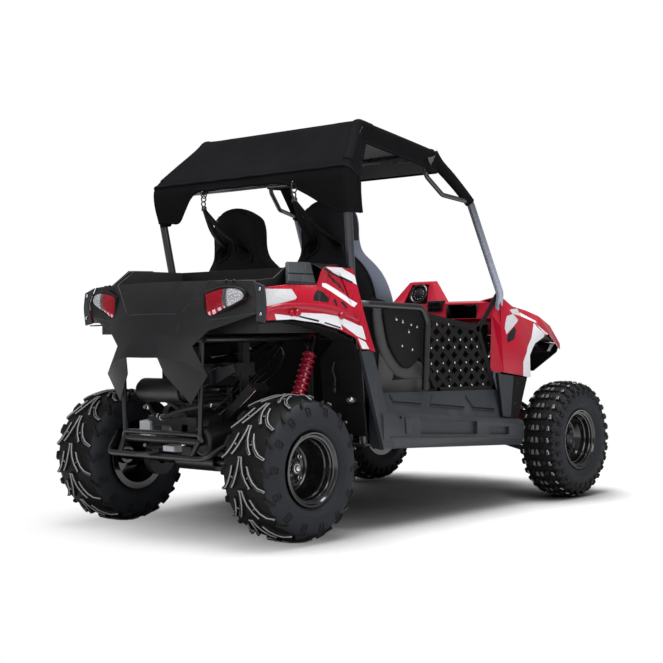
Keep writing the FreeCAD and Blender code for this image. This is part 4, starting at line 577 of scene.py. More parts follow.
# %% Springs on dampers
def sprung(name, foot, head, reach=.0185):
    """Red spring paint outside a reach from the line between two points, dark damper inside it;
    the line stands on both sides of the vehicle."""
    material, tree, wire = principled(name, roughness=.2, coat=.5)
    parts = split(tree, place_in(tree))
    folded = {"X": calc(tree, "ABSOLUTE", parts["X"]), "Y": parts["Y"], "Z": parts["Z"]}
    place = add_node(tree, "CombineXYZ", folded).outputs[0]
    from_foot = add_node(tree, "VectorMath", {0: place, 1: foot}, operation="SUBTRACT").outputs[0]
    line = tuple(unit(np.array(head) - foot))
    turned = add_node(tree, "VectorMath", {0: from_foot, 1: line}, operation="CROSS_PRODUCT").outputs[0]
    away = add_node(tree, "VectorMath", {0: turned}, operation="LENGTH").outputs["Value"]
    wire("Base Color", mixed(tree, ramp(tree, away, reach, reach + .0015), (.004, .004, .0045),
                             (.36, .006, .03)))
    return material


rear_spring = sprung("rear_spring", (.25, .63, .288), (.25, .459, .672))
front_spring = sprung("front_spring", (.283, -.79, .26), (.245, -.79, .6))
print("materials:", len(bpy.data.materials))

# %% [markdown]
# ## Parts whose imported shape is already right
# Tubes, shafts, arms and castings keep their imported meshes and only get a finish. Folded panels
# are a different matter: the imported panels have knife-sharp folds, while moulded plastic is
# rounded at each fold and catches a thin line of light there. So each panel is a merged copy of
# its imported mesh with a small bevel, and stands for its node.

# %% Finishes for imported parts
PACKED_FINISH = (
    (frame_paint, "frame side_bars front_arms swing_arm rear_guard front_bumper rack_housing steering_column "
                  "skid_plate seat_base rear_axle"),
    (cage_paint, "roll_cage"), (panel_black, "floor_pan air_box"), (rear_spring, "rear_shocks"),
    (front_spring, "front_shocks"), (liner_black, "rear_bulkhead rear_liners front_liners"),
    (dark_casting, "engine drive_case knuckle_left knuckle_right"), (exhaust_paint, "muffler"),
    (bright_steel, "rack_bar"), (grip_rubber, "steering_wheel"), (roof_cloth, "canopy"),
    (rim_gloss, "front_rim_left front_rim_right rear_rim_left rear_rim_right"),
    (seat_cloth, "seat_left seat_right"), (webbing_black, "side_nets harness"),
    (tyre_rubber, "front_tyre_left front_tyre_right rear_tyre_left rear_tyre_right"),
)
for finish, names in PACKED_FINISH:
    for node in names.split():
        nodes[node].data.materials.clear()
        nodes[node].data.materials.append(finish)
print("finished packed parts:", sum(len(names.split()) for _, names in PACKED_FINISH))

# %% Moulded panels
MOULDED = (  # finish, slot, width of the rounded folds, nodes
    (panel_black, "panel_black", .0022, "rear_fascia front_fascia"),
    (panel_black, "panel_black", .0025, "cargo_bed"),
    (panel_grey, "panel_grey", .003, "fender_pads rockers"), (red_gloss, "red_paint", .003, "dash"),
    (red_gloss, "red_paint", .0018, "hood rear_fender_left rear_fender_right "
                                    "front_fender_left front_fender_right"),
    (rim_gloss, "lamp_clear", .002, "head_lamps"), (red_gloss, "lamp_red", .002, "tail_lamps"),
)
panels = {}
for finish, slot, width, names in MOULDED:
    for node in names.split():
        panels[node] = placed_in_scene("moulded_" + node, nodes[node].data.copy())
        turn_outwards(panels[node], merge=True)
        panels[node].data.materials.clear()
        rounded(panels[node], width)
        settle(panels[node], "chassis", finish, [node])
print("moulded panels:", len(panels))

# %% [markdown]
# ## Tyres
# A balloon tyre is one ring with raised rubber blocks on it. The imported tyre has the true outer
# size but a coarser tread. Blocks could be cut with a displacement texture, but sharp block edges
# need real faces. So the casing is a profile turned about the axle, and every lug is a bar with
# bevelled edges that is laid out flat on the tread, in metres across and metres round, and then
# wrapped on the casing. The rear tread points its V blocks upwards at the back of the wheel.

# %% Wrapping flat shapes on a casing
def casing_section(width, radius, lug):
    """Half section of a casing as (offset, radius) points at even steps of length, from the
    middle of the tread over the shoulder and down the side to the bead."""
    base = radius - lug
    half = [(0, base), (.2, base - .0015), (.36, base - .009), (.445, base - .026), (.483, base - .052),
            (.487, base - .075), (.455, .142), (.4, .127), (.355, .122)]
    return smooth_line([(a * width, r, 0) for a, r in half], 34)[:, :2]


def on_casing(section, round_radius, centre, across, along, height):
    """Wraps flat positions on the casing: across the tread from its middle (positive towards
    the outer side), along the rim of the wheel and height above the rubber."""
    reach = np.arange(len(section)) * np.linalg.norm(section[1] - section[0])
    tangent = unit(np.gradient(section, axis=0))
    normal = np.stack([-tangent[:, 1], tangent[:, 0]], 1)
    line = np.abs(across)
    offset, radius = (np.interp(line, reach, section[:, k]) + height * np.interp(line, reach, normal[:, k])
                      for k in (0, 1))
    angle = along / round_radius
    away = np.where(across < 0, -1.0, 1.0) * offset
    return centre + np.stack([away, radius * np.cos(angle), radius * np.sin(angle)], -1)


def lug_bar(path, half_width, height, look=(1, 2, 1), edge=.0028, draft=.0022):
    """One raised bar over a flat path of (across, along) points: bottom, bevelled edge and top
    lines at each point. Gives (across, along, height) rows, faces and their finish numbers, by
    the look: of the sides, the bevelled edges and the top."""
    path = np.asarray(path, float)
    count = len(path)
    half_width = np.broadcast_to(np.asarray(half_width, float), (count,))
    run = unit(np.gradient(path, axis=0))
    beside = np.stack([-run[:, 1], run[:, 0]], 1)
    ends = np.zeros(count)
    ends[0], ends[-1] = -1.0, 1.0
    section = [(draft, -.002), (0.0, height - edge), (-edge, height)]
    lines = []
    for side, (spread_by, rise) in [(1, s) for s in section] + [(-1, s) for s in section[::-1]]:
        half = np.maximum(half_width + spread_by, .0008)[:, None]
        place = path + beside * side * half + run * (ends * spread_by)[:, None]
        lines.append(np.concatenate([place, np.full((count, 1), rise)], 1))
    faces = [[a, a + 6, a + 7, a + 1] for i in range(count - 1) for a in range(i * 6, i * 6 + 5)]
    finish = [look[min(k, 4 - k)] for _ in range(count - 1) for k in range(5)]
    for start, order in ((0, 1), ((count - 1) * 6, -1)):
        faces += [[start + k for k in ring][::order] for ring in ((0, 1, 4, 5), (1, 2, 3, 4))]
        finish += look[:2]
    faces += [[i * 6 + 5, i * 6 + 11, i * 6 + 6, i * 6] for i in range(count - 1)]
    return np.stack(lines, 1).reshape(-1, 3), faces, finish + [1] * (count - 1)


# %% Tread patterns
# Each bar is a path, its half width along the path, its height and its look: the numbers of the
# finishes on its sides, its edges and its top.
# the pale look paints highlight on a block's edges and top; the dark look has none
DARK_LUG, HIGHLIGHT_LUG = (1, 1, 1), (1, 4, 4)
# two steep legs that meet in a point, a curved bar outside each leg with a short rung between
# them, a bar and a square stud on the side
STUD = [(.112, .012), (.138, .012), (.138, -.012), (.112, -.012), (.112, .012)]
REAR_TREAD = [
    ([(.0046, .04), (.0068, .016), (.013, -.012), (.025, -.04), (.04, -.062)],
     [.0046, .0056, .0058, .0056, .0046], .0135),
    ([(.033, .01), (.04, -.016), (.052, -.042), (.069, -.062), (.09, -.074)],
     [.003, .0046, .0052, .0052, .0044], .013),
    ([(.03, -.03), (.044, -.022)], .0022, .011),
    ([(.082, .006), (.096, -.016), (.106, -.026)], [.004, .0046, .0036], .011, DARK_LUG),
    ([(.119, 0), (.131, 0)], .005, .0024, DARK_LUG),
] + [([a, b], .0016, .003, DARK_LUG) for a, b in zip(STUD, STUD[1:])]
# a pair of three-cornered blocks, two rows of small knobs, and shoulder knobs
FRONT_TREAD = [
    ([(.009, .0125), (.0105, .002), (.0112, -.0085)], [.0032, .0066, .0078], .013, HIGHLIGHT_LUG),
    ([(.026, .01), (.034, -.006)], [.006, .008], .0115, DARK_LUG),
    ([(.054, .0105), (.0555, -.0075)], [.003, .005], .0125),
    ([(.068, .006), (.08, -.01)], [.0085, .0095], .0115, DARK_LUG),
    ([(.09, -.016), (.108, -.017)], [.01, .008], .008, DARK_LUG),
]
REAR_WHEEL, FRONT_WHEEL = np.array((.43, .79, .245)), np.array((.525, -.79, .24))
BEAD_RADIUS = .1045


def tyre(centre, width, radius, lug, count, pattern, lowest):
    """Casing and lugs of one left tyre: finish 0 is the side of the casing, 3 the ground between
    the lugs, and the others are the lugs.
    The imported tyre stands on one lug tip, so the pattern starts at the same angle: lowest is how
    far that tip lies ahead of the pattern's start."""
    section = casing_section(width, radius, lug)
    section[-9:-3, 0] += (0, .002, .0022, .0004, .0018, 0)
    profile = np.concatenate([section, [(.33 * width, BEAD_RADIUS)], [(-.33 * width, BEAD_RADIUS)],
                              (section * (-1, 1))[:0:-1]])
    around = 112
    points, faces = spun(profile, centre, around, closed=True)
    tread = np.abs(profile[:, 0]) < .4 * width
    outer = profile[:, 1] > .8 * radius
    finish = [3 if (tread & outer)[min(f) // around] and tread[max(f) // around] else 0 for f in faces]
    parts = [(points, [f[::-1] for f in faces])]
    start, pitch = -math.pi / 2 * radius - lowest, 2 * math.pi * radius / count
    both_halves = pattern + [([(-a, t) for a, t in path], *rest) for path, *rest in pattern]
    for k in range(count):
        for bar in both_halves:
            flat, lug_faces, kinds = lug_bar(*bar)
            across, along, height = (flat + (0, start + k * pitch, 0)).T
            parts.append((on_casing(section, radius, centre, across, along, height), lug_faces))
            finish += kinds
    return several(parts), finish


RUBBERS = [tyre_rubber, lug_rubber, lug_edge_highlight, tread_rubber, lug_top_highlight]
tyre_kinds = (("rear", tyre(REAR_WHEEL, .23, .245, .0135, 14, REAR_TREAD, .0385)),
              ("front", tyre(FRONT_WHEEL, .178, .24, .0125, 30, FRONT_TREAD, .017)))
for end, (part, finish) in tyre_kinds:
    for word, copy in left_and_right([part]):
        node, body = end + "_tyre_" + word, "rear_wheels" if end == "rear" else "front_wheel_" + word
        piece = one_piece(node + "_tread", copy, "tyre_black", RUBBERS, body=body, stands_for=[node])
        piece.data.polygons.foreach_set("use_smooth", np.isin(finish, (0, 3)))
        piece.data.polygons.foreach_set("material_index", np.array(finish, dtype=np.int32))

# %% [markdown]
# ## Rims
# The rims are deep pressed dishes in gloss black: a rolled lip, a stepped barrel and a domed
# web with the hub. Turning one stepped profile gives all of it; nuts, caps and valve stems are
# small turned pieces on top.

# %% Stepped dishes, nuts and caps
WEB = -.012
WEB_PROFILE = [(.03, .089), (.02, .084), (.012, .0795), (.0085, .074), (.0125, .069), (.0125, .06),
               (.0075, .055), (.0075, .044), (.013, .038), (.0215, .033), (.023, .03), (.023, .019),
               (-.023, .019), (-.023, .032), (0, .034), (0, .078)]
LIP_PROFILE = [(0, .1235), (.0022, .1215), (.0012, .1165), (-.004, .1125), (-.011, .1065), (-.016, .1005),
               (-.032, .0985), (-.036, .0945), (-.05, .0925)]
NUT = [(0, 0), (0, .0095), (.01, .0095), (.0125, .0078), (.0125, .0055), (.021, .005), (.022, 0)]
HUB_CAPS = {
    "rear": [(.023, 0), (.023, .0215), (.031, .0215), (.0315, .0165), (.043, .0165), (.044, .0135),
             (.042, .0125), (.048, .009), (.049, 0)],
    "front": [(.023, 0), (.023, .0285), (.036, .0265), (.043, .02), (.046, .01), (.0465, 0)],
}


def rim_profile(half):
    """Closed section of a dish: outer lip, stepped barrel, web, hub, and back along the inside."""
    back = [(-half, .099), (-half, .124), (-half + .005, .124), (-half + .006, BEAD_RADIUS),
            (half - .006, BEAD_RADIUS),
            (half - .004, .12)]
    return [(half + a, r) for a, r in LIP_PROFILE] + [(WEB + a, r) for a, r in WEB_PROFILE] + back


for end, centre, half in (("rear", REAR_WHEEL, .1), ("front", FRONT_WHEEL, .073)):
    small = [spun(NUT, centre + (WEB + .0075, .05 * math.cos(turn), .05 * math.sin(turn)), 6)
             for turn in np.radians((45, 135, 225, 315))]
    small.append(spun([(WEB + a, r) for a, r in HUB_CAPS[end]], centre, 24))
    stem_line = np.array([(half - .014, 0, .098), (half + .002, 0, .088), (half + .012, 0, .085)]) + centre
    stem = tube(smooth_line(stem_line, 8), .0038, 10)
    dishes = left_and_right([spun(rim_profile(half), centre, 96, closed=True)])
    for (word, dish), (_, nuts), (_, valve) in zip(dishes, left_and_right(small), left_and_right([stem])):
        body = "rear_wheels" if end == "rear" else "front_wheel_" + word
        rim = one_piece(end + "_dish_" + word, dish, "rim_black", rim_gloss, body=body,
                        stands_for=[end + "_rim_" + word])
        rounded(rim, .0012, angle=28.0)
        one_piece(end + "_nuts_" + word, nuts, "steel", bright_steel if end == "rear" else dark_casting, .0006,
                  body)
        one_piece(end + "_valve_" + word, valve, "tyre_black", grip_rubber, body=body)

# %% [markdown]
# ## Fabric roof
# The roof is one piece of dark cloth, stretched over the two roof rails and both cross bars. It
# wraps round the rails, hangs as a short valance at the front and covers the rear hoops down to
# the shoulders as sleeves, with a straight hem between them. A cloth simulation would drape it
# too, but here the cloth is tight: its section across the vehicle is an arc round each rail with
# a slack line between them, and that section is carried along the rails from front to back.

# %% Stretched roof cloth
RAIL_STATIONS = [  # half width at the rail, y, z of the rail, direction the cloth faces in degrees, slack
    (.4, -.05, 1.3, 180, 0), (.4, -.05, 1.318, 180, .001), (.4, -.05, 1.34, 178, .002),
    (.4, -.05, 1.36, 172, .001), (.4, -.05, 1.362, 150, 0), (.4, -.048, 1.362, 120, .001),
    (.4, -.04, 1.364, 99, .004), (.399, 0, 1.3705, 99, .01), (.397, .07, 1.382, 99, .016),
    (.3945, .15, 1.395, 99, .019), (.392, .23, 1.4083, 99, .016), (.389, .31, 1.4216, 98, .009),
    (.387, .352, 1.429, 95, .004), (.387, .372, 1.431, 80, .001), (.389, .384, 1.425, 62, .002),
    (.396, .402, 1.404, 50, .006), (.415, .436, 1.369, 45, .012), (.437, .472, 1.333, 45, .013),
    (.457, .508, 1.297, 44, .009), (.47, .532, 1.273, 40, .004), (.479, .549, 1.253, 28, .001),
    (.48, .554, 1.235, 8, .001), (.479, .552, 1.22, -6, .001), (.477, .548, 1.19, -8, .001),
    (.475, .543, 1.16, -8, .002), (.472, .538, 1.13, -8, .002), (.47, .534, 1.108, -8, .001),
]
HEM_X = [-.5, -.462, -.444, -.321, -.231, -.158, .264, .316, .367, .419, .45, .5]
HEM_Z = [1.106, 1.1, 1.103, 1.167, 1.213, 1.222, 1.224, 1.166, 1.108, 1.118, 1.122, 1.12]
FLAP_ROW = 21
RAIL_WRAP = .0185
SIDE_HANG = [.058, .04, .02, .006]


def roof_section(half, slack):
    """One section across: hem, outer side, quarter round on the rail, and a slack line to the
    middle; (x, height) from the side at +x to the side at -x."""
    left = [(half + RAIL_WRAP - .004 * (d > .03), -d) for d in SIDE_HANG]
    left += [(half + RAIL_WRAP * math.cos(a),
              RAIL_WRAP * math.sin(a)) for a in np.radians(np.linspace(0, 90, 6))]
    left += [(half * s, RAIL_WRAP - slack * (1 - s * s) - .0015 * math.sin(9.0 * s) * (1 - s) * (slack > .003))
             for s in np.linspace(.94, 0, 12)]
    return left + [(-x, h) for x, h in left[-2::-1]]


roof_facing = np.radians([station[3] for station in RAIL_STATIONS])
roof = np.array([[(x, y + math.cos(turn) * h, z + math.sin(turn) * h) for x, h in roof_section(half, slack)]
                 for (half, y, z, _, slack), turn in zip(RAIL_STATIONS, roof_facing)])
top = roof[FLAP_ROW, :, 2]
for row in range(FLAP_ROW + 1, len(roof)):
    lowest = np.interp(roof[row, :, 0], HEM_X, HEM_Z)
    roof[row, :, 2] = top + (lowest - top) * (row - FLAP_ROW) / (len(roof) - FLAP_ROW - 1)
    fall = (top - roof[row, :, 2]) / .13
    roof[row, :, 1] = roof[FLAP_ROW, :, 1] + (roof[row, :, 1] - roof[FLAP_ROW, :, 1]) * np.clip(fall, 0, 1)
roof[:, :, 2] += .0012 * np.sin(roof[:, :, 0] * 46) * np.sin(np.arange(len(roof))[:, None] * .9)
rows, columns = roof.shape[:2]
canopy = mesh_from("roof_cloth", roof, grid_faces(rows, columns))
across = np.cumsum(np.concatenate([np.zeros((rows, 1)), np.linalg.norm(np.diff(roof, axis=1), axis=2)], 1), 1)
down = np.cumsum(np.concatenate([np.zeros((1, columns)), np.linalg.norm(np.diff(roof, axis=0), axis=2)], 0), 0)
corners = np.zeros(len(canopy.data.loops), int)
canopy.data.loops.foreach_get("vertex_index", corners)
uv = canopy.data.uv_layers.new(name="flat")
uv.data.foreach_set("uv", np.stack([across.ravel()[corners], down.ravel()[corners]], 1).ravel())
smooth_cloth = canopy.modifiers.new("smooth", "SUBSURF")
smooth_cloth.levels, smooth_cloth.render_levels = 1, 2
cloth_body = canopy.modifiers.new("cloth", "SOLIDIFY")
cloth_body.thickness, cloth_body.offset, cloth_body.material_offset = .0022, -1.0, 1
settle(canopy, "chassis", [roof_cloth, roof_lining], ["canopy"])
if canopy.data.polygons[(rows // 3) * (columns - 1) + columns // 2].normal.z < 0:
    canopy.data.flip_normals()

# %% [markdown]
# The hems and the seams over the cross bars are folded double, the cloth bulges over the rails at
# the rear corners, and the front pillars and the legs of the rear hoops carry fitted sleeves
# that close round the tube.

# %% Hems, seams and sleeves
seam_lines = []
for row, width in ((0, .016), (6, .01), (20, .01)):
    lift = np.array((0, math.cos(roof_facing[row]), math.sin(roof_facing[row]))) * .0012
    lengthwise = roof[min(row + 1, rows - 1)] - roof[max(row - 1, 0)]
    wide = np.stack([spread(lengthwise[:, k], 90) for k in range(3)], 1)
    seam_lines.append(ribbon(smooth_line(roof[row] + lift, 90), width, .0022, wide))
seam_lines.append(ribbon(smooth_line(roof[-1] + (0, .0012, .006), 110), .014, .0026, (0, .1, 1)))
for edge, out in ((0, .0012), (-1, -.0012)):
    seam_lines.append(ribbon(smooth_line(roof[:, edge] + (out, 0, 0), 80), .012, .0026, (0, .4, 1)))
rear_corner = tube(smooth_line([station[:3] for station in RAIL_STATIONS[11:20]], 40), RAIL_WRAP + .0022, 24)
ridge = np.array([(x, .362, 1.4295) for x in np.linspace(-.387, .387, 30)])
seam_lines += [rear_corner, mirrored(rear_corner), tube(ridge, RAIL_WRAP + .001, 24)]
one_piece("roof_seams", seam_lines, "fabric_black", roof_cloth)


def sleeve(path, radii):
    """A closed cloth tube round a leg, with soft folds along it."""
    path = smooth_line(path, 28)
    points, faces = tube(path, spread(radii, 28), 28)
    ripple = 1 + .035 * np.sin(3 * around_circle(28))[None] * np.sin(np.linspace(0, 9, 28))[:, None]
    return path[:, None] + (points.reshape(28, 28, 3) - path[:, None]) * ripple[..., None], faces


FRONT_LEG = [(.4, -.052, 1.368), (.409, -.078, 1.328), (.424, -.128, 1.283), (.44, -.176, 1.235),
             (.4545, -.219, 1.188)]
REAR_LEG = [(.4775, .549, 1.236), (.4745, .543, 1.204), (.47, .535, 1.16), (.4655, .527, 1.108)]
legs = [sleeve(FRONT_LEG, [.0215, .0225, .0215, .0205, .0195]), sleeve(REAR_LEG, [.0195, .0205, .0215, .022])]
both_sides("leg_sleeves", legs, "fabric_black", roof_cloth)
print("seams", len(seam_lines), "sleeves", 2 * len(legs))

# %% [markdown]
# ## Seats
# Each seat is a foam bucket in black cloth: a round head, shoulders, side wings that come
# forward, and two slots for the shoulder belts. The photograph shows it from behind with the
# slots open to the light. A box with holes cut in it would keep hard edges, so the back is
# two grids of the same layout, front and rear, joined round the outline and round each slot,
# and a Subdivision modifier draws it into a padded form.

# %% Padded seat backs
BACK_ROWS = [  # height, half width, how far the wings come forward, depth of the pad
    (.432, .158, .02, .085), (.47, .182, .045, .09), (.54, .196, .075, .092), (.62, .205, .088, .09),
    (.7, .211, .09, .086), (.78, .214, .078, .084), (.85, .211, .058, .082), (.9, .198, .04, .08),
    (.94, .172, .024, .078), (.968, .142, .012, .078), (.99, .127, .008, .078), (1.026, .12, .007, .078),
    (1.048, .1195, .008, .08), (1.09, .118, .012, .082), (1.13, .108, .012, .08), (1.16, .09, .008, .074),
    (1.18, .062, .004, .062),
]
BACK_COLUMNS = [-1, -.93, -.8, -.66, -.46, -.25, -.1, 0, .1, .25, .46, .66, .8, .93, 1]
SLOT_ROW, SLOTS = 10, ((3, 4), (9, 10))
BACK_TILT = math.radians(4.5)
SEAT_MIDDLE = .231


def back_surface(front):
    """Grid of the front or the rear of a seat back: wings come forward by the fourth power of
    the way out, and the whole back leans about its foot."""
    grid = []
    for number, (z, half, wing, depth) in enumerate(BACK_ROWS):
        for u in BACK_COLUMNS:
            away = abs(u)
            forward = wing * away ** 4
            y = .347 - forward * .62 - .016 * away ** 6
            if front:
                y = y - depth * (1 - .4 * away ** 6) - .38 * forward
            slant = .011 * (.46 - away) / .21 if number in (SLOT_ROW, SLOT_ROW + 1) and .2 < away < .7 else 0
            back, up = y - .29, z + slant - (.018 * away ** 2 if z > 1.15 else 0) - .432
            grid.append((SEAT_MIDDLE + u * half, .29 + back * math.cos(BACK_TILT) + up * math.sin(BACK_TILT),
                         .432 + up * math.cos(BACK_TILT) - back * math.sin(BACK_TILT)))
    return np.array(grid).reshape(len(BACK_ROWS), len(BACK_COLUMNS), 3)


def seat_back():
    """Front and rear grids joined round the outline and the two belt slots. Finish 0 is black
    cloth, 1 the grey of the side wings."""
    front = back_surface(True)
    rows, columns = front.shape[:2]
    behind, edges = rows * columns, (0, columns - 2)
    faces, finish, used = [], [], {}
    for i in range(rows - 1):
        for j in range(columns - 1):
            if i == SLOT_ROW and j in SLOTS[0] + SLOTS[1]:
                continue
            ring = [i * columns + j, i * columns + j + 1, (i + 1) * columns + j + 1, (i + 1) * columns + j]
            faces += [ring, [k + behind for k in ring[::-1]]]
            finish += [int(j in edges)] * 2
            used.update({pair: True for pair in zip(ring, ring[1:] + ring[:1])})
    for a, b in used:
        if (b, a) not in used:
            faces.append([b, a, a + behind, b + behind])
            at_side = {a % columns, b % columns} <= {0, columns - 1}
            finish.append(int(at_side and a // columns < 12))
    return np.concatenate([front.reshape(-1, 3), back_surface(False).reshape(-1, 3)]), faces, finish


def cushion():
    """Seat cushion: a block of rings whose sides bulge and whose top is dished between two
    rolls. Finish 1 is the grey side."""
    around = 32
    turn = around_circle(around)
    levels = [(.432, .9), (.44, .965), (.47, 1), (.505, .985), (.53, .95), (.543, .885), (.546, .78),
              (.536, .64), (.524, .46), (.52, .24)]
    a, b = (np.sign(wave) * np.abs(wave) ** .55 for wave in (np.cos(turn), np.sin(turn)))
    rings = [np.stack([SEAT_MIDDLE + .199 * share * a, .122 + .186 * share * b,
                       z + (.016 * np.abs(a) ** 3 - .012 * (b < -.6)) * (z > .5)], 1) for z, share in levels]
    faces = grid_faces(len(levels), around, wrap_columns=True)
    finish = [int(k < 3 * around) for k in range(len(faces))] + [0] * (around + 1)
    last, peak = (len(levels) - 1) * around, len(levels) * around
    faces += [[last + k, last + (k + 1) % around, peak] for k in range(around)] + [list(range(around))]
    return np.concatenate(rings + [[(SEAT_MIDDLE, .122, .5195)]]), faces, finish


def side_wing(side):
    """Grey bolster at one side of the seat, from the cushion's front up to the shoulder: an
    oval section carried along a bent line."""
    line = smooth_line([(SEAT_MIDDLE + side * x, y, z) for x, y, z in (
        (.17, -.03, .515), (.184, .08, .545), (.192, .19, .575), (.196, .262, .64), (.198, .3, .72),
        (.194, .33, .8))], 22)
    size = spread([(0, .006), (.08, .03), (.3, .042), (.55, .056), (.8, .052), (.94, .034), (1, .008)], 22)
    points, faces = tube(line, size, 16)
    return line[:, None] + (points.reshape(22, 16, 3) - line[:, None]) * (.42, 1, 1), faces, [1] * len(faces)


seat_parts = [seat_back(), cushion(), side_wing(1), side_wing(-1)]
seat_finish = np.concatenate([kinds for _, _, kinds in seat_parts]).astype(np.int32)
back = back_surface(False)
outline = np.concatenate([back[1:16, 1], back[15, 2:13], back[15:0:-1, 13]])
piping = [tube(smooth_line(outline + (0, .0012, 0), 120), .0026, 8)]
for left, right in SLOTS:
    loop = np.concatenate([back[SLOT_ROW, [left, right + 1]], back[SLOT_ROW + 1, [right + 1, left]]])
    loop = loop.mean(axis=0) + (loop - loop.mean(axis=0)) * 1.32 + (0, .0035, 0)
    piping.append(tube(smooth_line(np.concatenate([loop, loop[:2]]), 48), .0034, 8))


def moved(parts, shift):
    """The same parts moved across the vehicle."""
    return [(points + np.array((shift, 0, 0)), faces) for points, faces, *_ in parts]


for word, shift in (("left", 0), ("right", -2 * SEAT_MIDDLE)):
    seat = one_piece("seat_pad_" + word, moved(seat_parts, shift), "seat_cloth", [seat_cloth, seat_side],
                     stands_for=["seat_" + word])
    seat.data.polygons.foreach_set("material_index", seat_finish)
    padding = seat.modifiers.new("padding", "SUBSURF")
    padding.levels, padding.render_levels = 1, 2
    one_piece("seat_piping_" + word, moved(piping, shift), "webbing", webbing_black)

# %% [markdown]
# ## Belts and door nets
# The shoulder belts hang from rings on the rear hoop bar and pass through the slots. The nets are
# webbing sewn in diamonds with a rivet at the crossings, a padded panel behind the side bar and
# a strap up to the front pillar. All of it is flat webbing carried along a line, which keeps the
# real width and thickness and lets the light through the holes.

# %% Shoulder belts with snap hooks
belts, hooks = [], []
for side in (1, -1):
    middle = side * SEAT_MIDDLE
    ring_place = np.array((middle - .021, .566, 1.196))
    upper = ring_place + (.004, -.006, -.04)
    for s in (1, -1):
        slot = np.array((middle + s * .046, .386, 1.014))
        behind = [upper, upper * .45 + slot * .55 + (0, .012, -.004), slot + (0, .004, .012)]
        through = [slot + (0, -.04, -.004), slot + (0, -.115, -.03), slot + (.004 * s, -.14, -.12)]
        down = [slot + (.01 * s, -.155, -.26), (middle + s * .09, .15, .57)]
        line = behind + through + down
        belts.append(ribbon(smooth_line(line, 60), spread([(0, .018), (.12, .03), (1, .034)], 60), .0028,
                            (1, 0, 0)))
    turn = np.linspace(0, 2 * math.pi, 25)
    for drop, size, order in ((0, .0115, (0, 1, 2)), (.019, .0095, (1, 0, 2)), (-.016, .013, (1, 0, 2))):
        circle = np.stack([np.cos(turn) * size, 0 * turn, np.sin(turn) * size], 1)[:, order]
        hooks.append(tube(ring_place + (.06 * drop, 0, -drop) + circle, .0026, 8))
    hooks.append(tube([upper + (0, 0, .012), upper + (0, 0, -.004)], [.009, .011], 12))
    loop = [ring_place + step for step in ((0, -.012, .052), (0, .004, .034), (0, .002, .014))]
    belts.append(ribbon(loop, .026, .003, (1, 0, 0)))
one_piece("shoulder_belts", belts, "webbing", webbing_black, stands_for=["harness"])
one_piece("belt_hooks", hooks, "steel", hook_black)

# %% Door nets
NET_X = .4605
NET_CORNERS = [(.25, .772), (-.255, .7), (-.362, .462), (.01, .47)]
NET_EDGES = list(zip(NET_CORNERS, NET_CORNERS[1:] + NET_CORNERS[:1]))
NET_LEAN, NET_SPACING = math.radians(38), .046
NET_START = np.array((-.06, .6))
STRANDS = range(-12, 26)
PANEL_RING = [(.33, .772), (.262, .782), (.1, .752), (.07, .7), (.12, .6), (.205, .56), (.292, .64)]


def family(lean):
    """Directions along and across the strands that lean by an angle."""
    return np.array((math.cos(lean), math.sin(lean))), np.array((-math.sin(lean), math.cos(lean)))


def strands(lean, width, layer):
    """Parallel webbing strands over the net, cut to its outline, waving a little in and out
    where they pass the other family."""
    run, beside = family(lean)
    made = []
    for number in STRANDS:
        start = NET_START + beside * number * NET_SPACING
        low, high = -9.0, 9.0
        for (ay, az), (by, bz) in NET_EDGES:
            normal = np.array((bz - az, -(by - ay)))
            at, speed = normal @ (np.array((ay, az)) - start) / (normal @ run), normal @ run
            low, high = (low, min(high, at)) if speed > 0 else (max(low, at), high)
        if high - low > .03:
            reach = np.linspace(low, high, 30)
            wave = NET_X + .0014 * np.cos(reach * math.pi / NET_SPACING) * layer
            line = np.concatenate([wave[:, None], start + reach[:, None] * run], 1)
            made.append(ribbon(line, width, .0016, (0, *beside)))
    return made


net = strands(NET_LEAN, .021, 1) + strands(math.pi - NET_LEAN, .021, -1)
for a, b in NET_EDGES:
    a, b = np.array((NET_X + .001, *a)), np.array((NET_X + .001, *b))
    along = unit(b - a) * .024
    net.append(ribbon(np.linspace(a - along * .4, b + along * .4, 8), .024, .004, np.cross(along, (1, 0, 0))))
centre = np.mean(PANEL_RING, axis=0)
ring = smooth_line([(0, *p) for p in PANEL_RING + PANEL_RING[:1]], 49)[:-1, 1:] - centre
layers = [np.concatenate([np.full((48, 1), NET_X - .004 + lift), centre + ring * share], 1)
          for share, lift in ((1, -.007), (1.02, -.003), (1.02, .003), (.985, .0075), (.9, .0095),
                              (.55, .0105))]
front_strap = smooth_line([(.46, -.262, .704), (.463, -.3, .742), (.466, -.345, .795), (.472, -.372, .832)], 16)
rear_strap = smooth_line([(.46, .25, .772), (.464, .33, .79), (.466, .408, .804)], 12)
net += [ribbon(front_strap, .022, .003, (0, .72, .69)), ribbon(rear_strap, .022, .003, (0, -.2, 1)),
        carried(np.array(layers))]
both_sides("door_nets", net, "webbing", webbing_black, stands_for=["side_nets"], smooth=False)

# %% Rivets at the crossings
RIVET = [(0, 0), (0, .0046), (.0012, .0044), (.0022, .003), (.0026, 0)]
PANEL_RIVET = [(0, 0), (0, .0058), (.0016, .0054), (.0028, .003), (.003, 0)]
across_a, across_b = family(NET_LEAN)[1], family(math.pi - NET_LEAN)[1]
rivets = []
for i in STRANDS:
    for k in STRANDS:
        spot = NET_START + np.linalg.solve(np.stack([across_a, across_b]), (i * NET_SPACING, k * NET_SPACING))
        within = all((bz - az) * (spot[0] - ay) - (by - ay) * (spot[1] - az) < -.003
                     for (ay, az), (by, bz) in NET_EDGES)
        if within and (i + 2 * k) % 3:
            rivets.append(spun(RIVET, (NET_X + .0026, *spot), 12))
for y, z in ((.262, .735), (.225, .726), (.176, .716), (.14, .708), (.23, .64), (.17, .625), (.19, .69)):
    rivets.append(spun(PANEL_RIVET, (NET_X + .0055, y, z), 14))
both_sides("net_rivets", rivets, "steel", bright_steel)
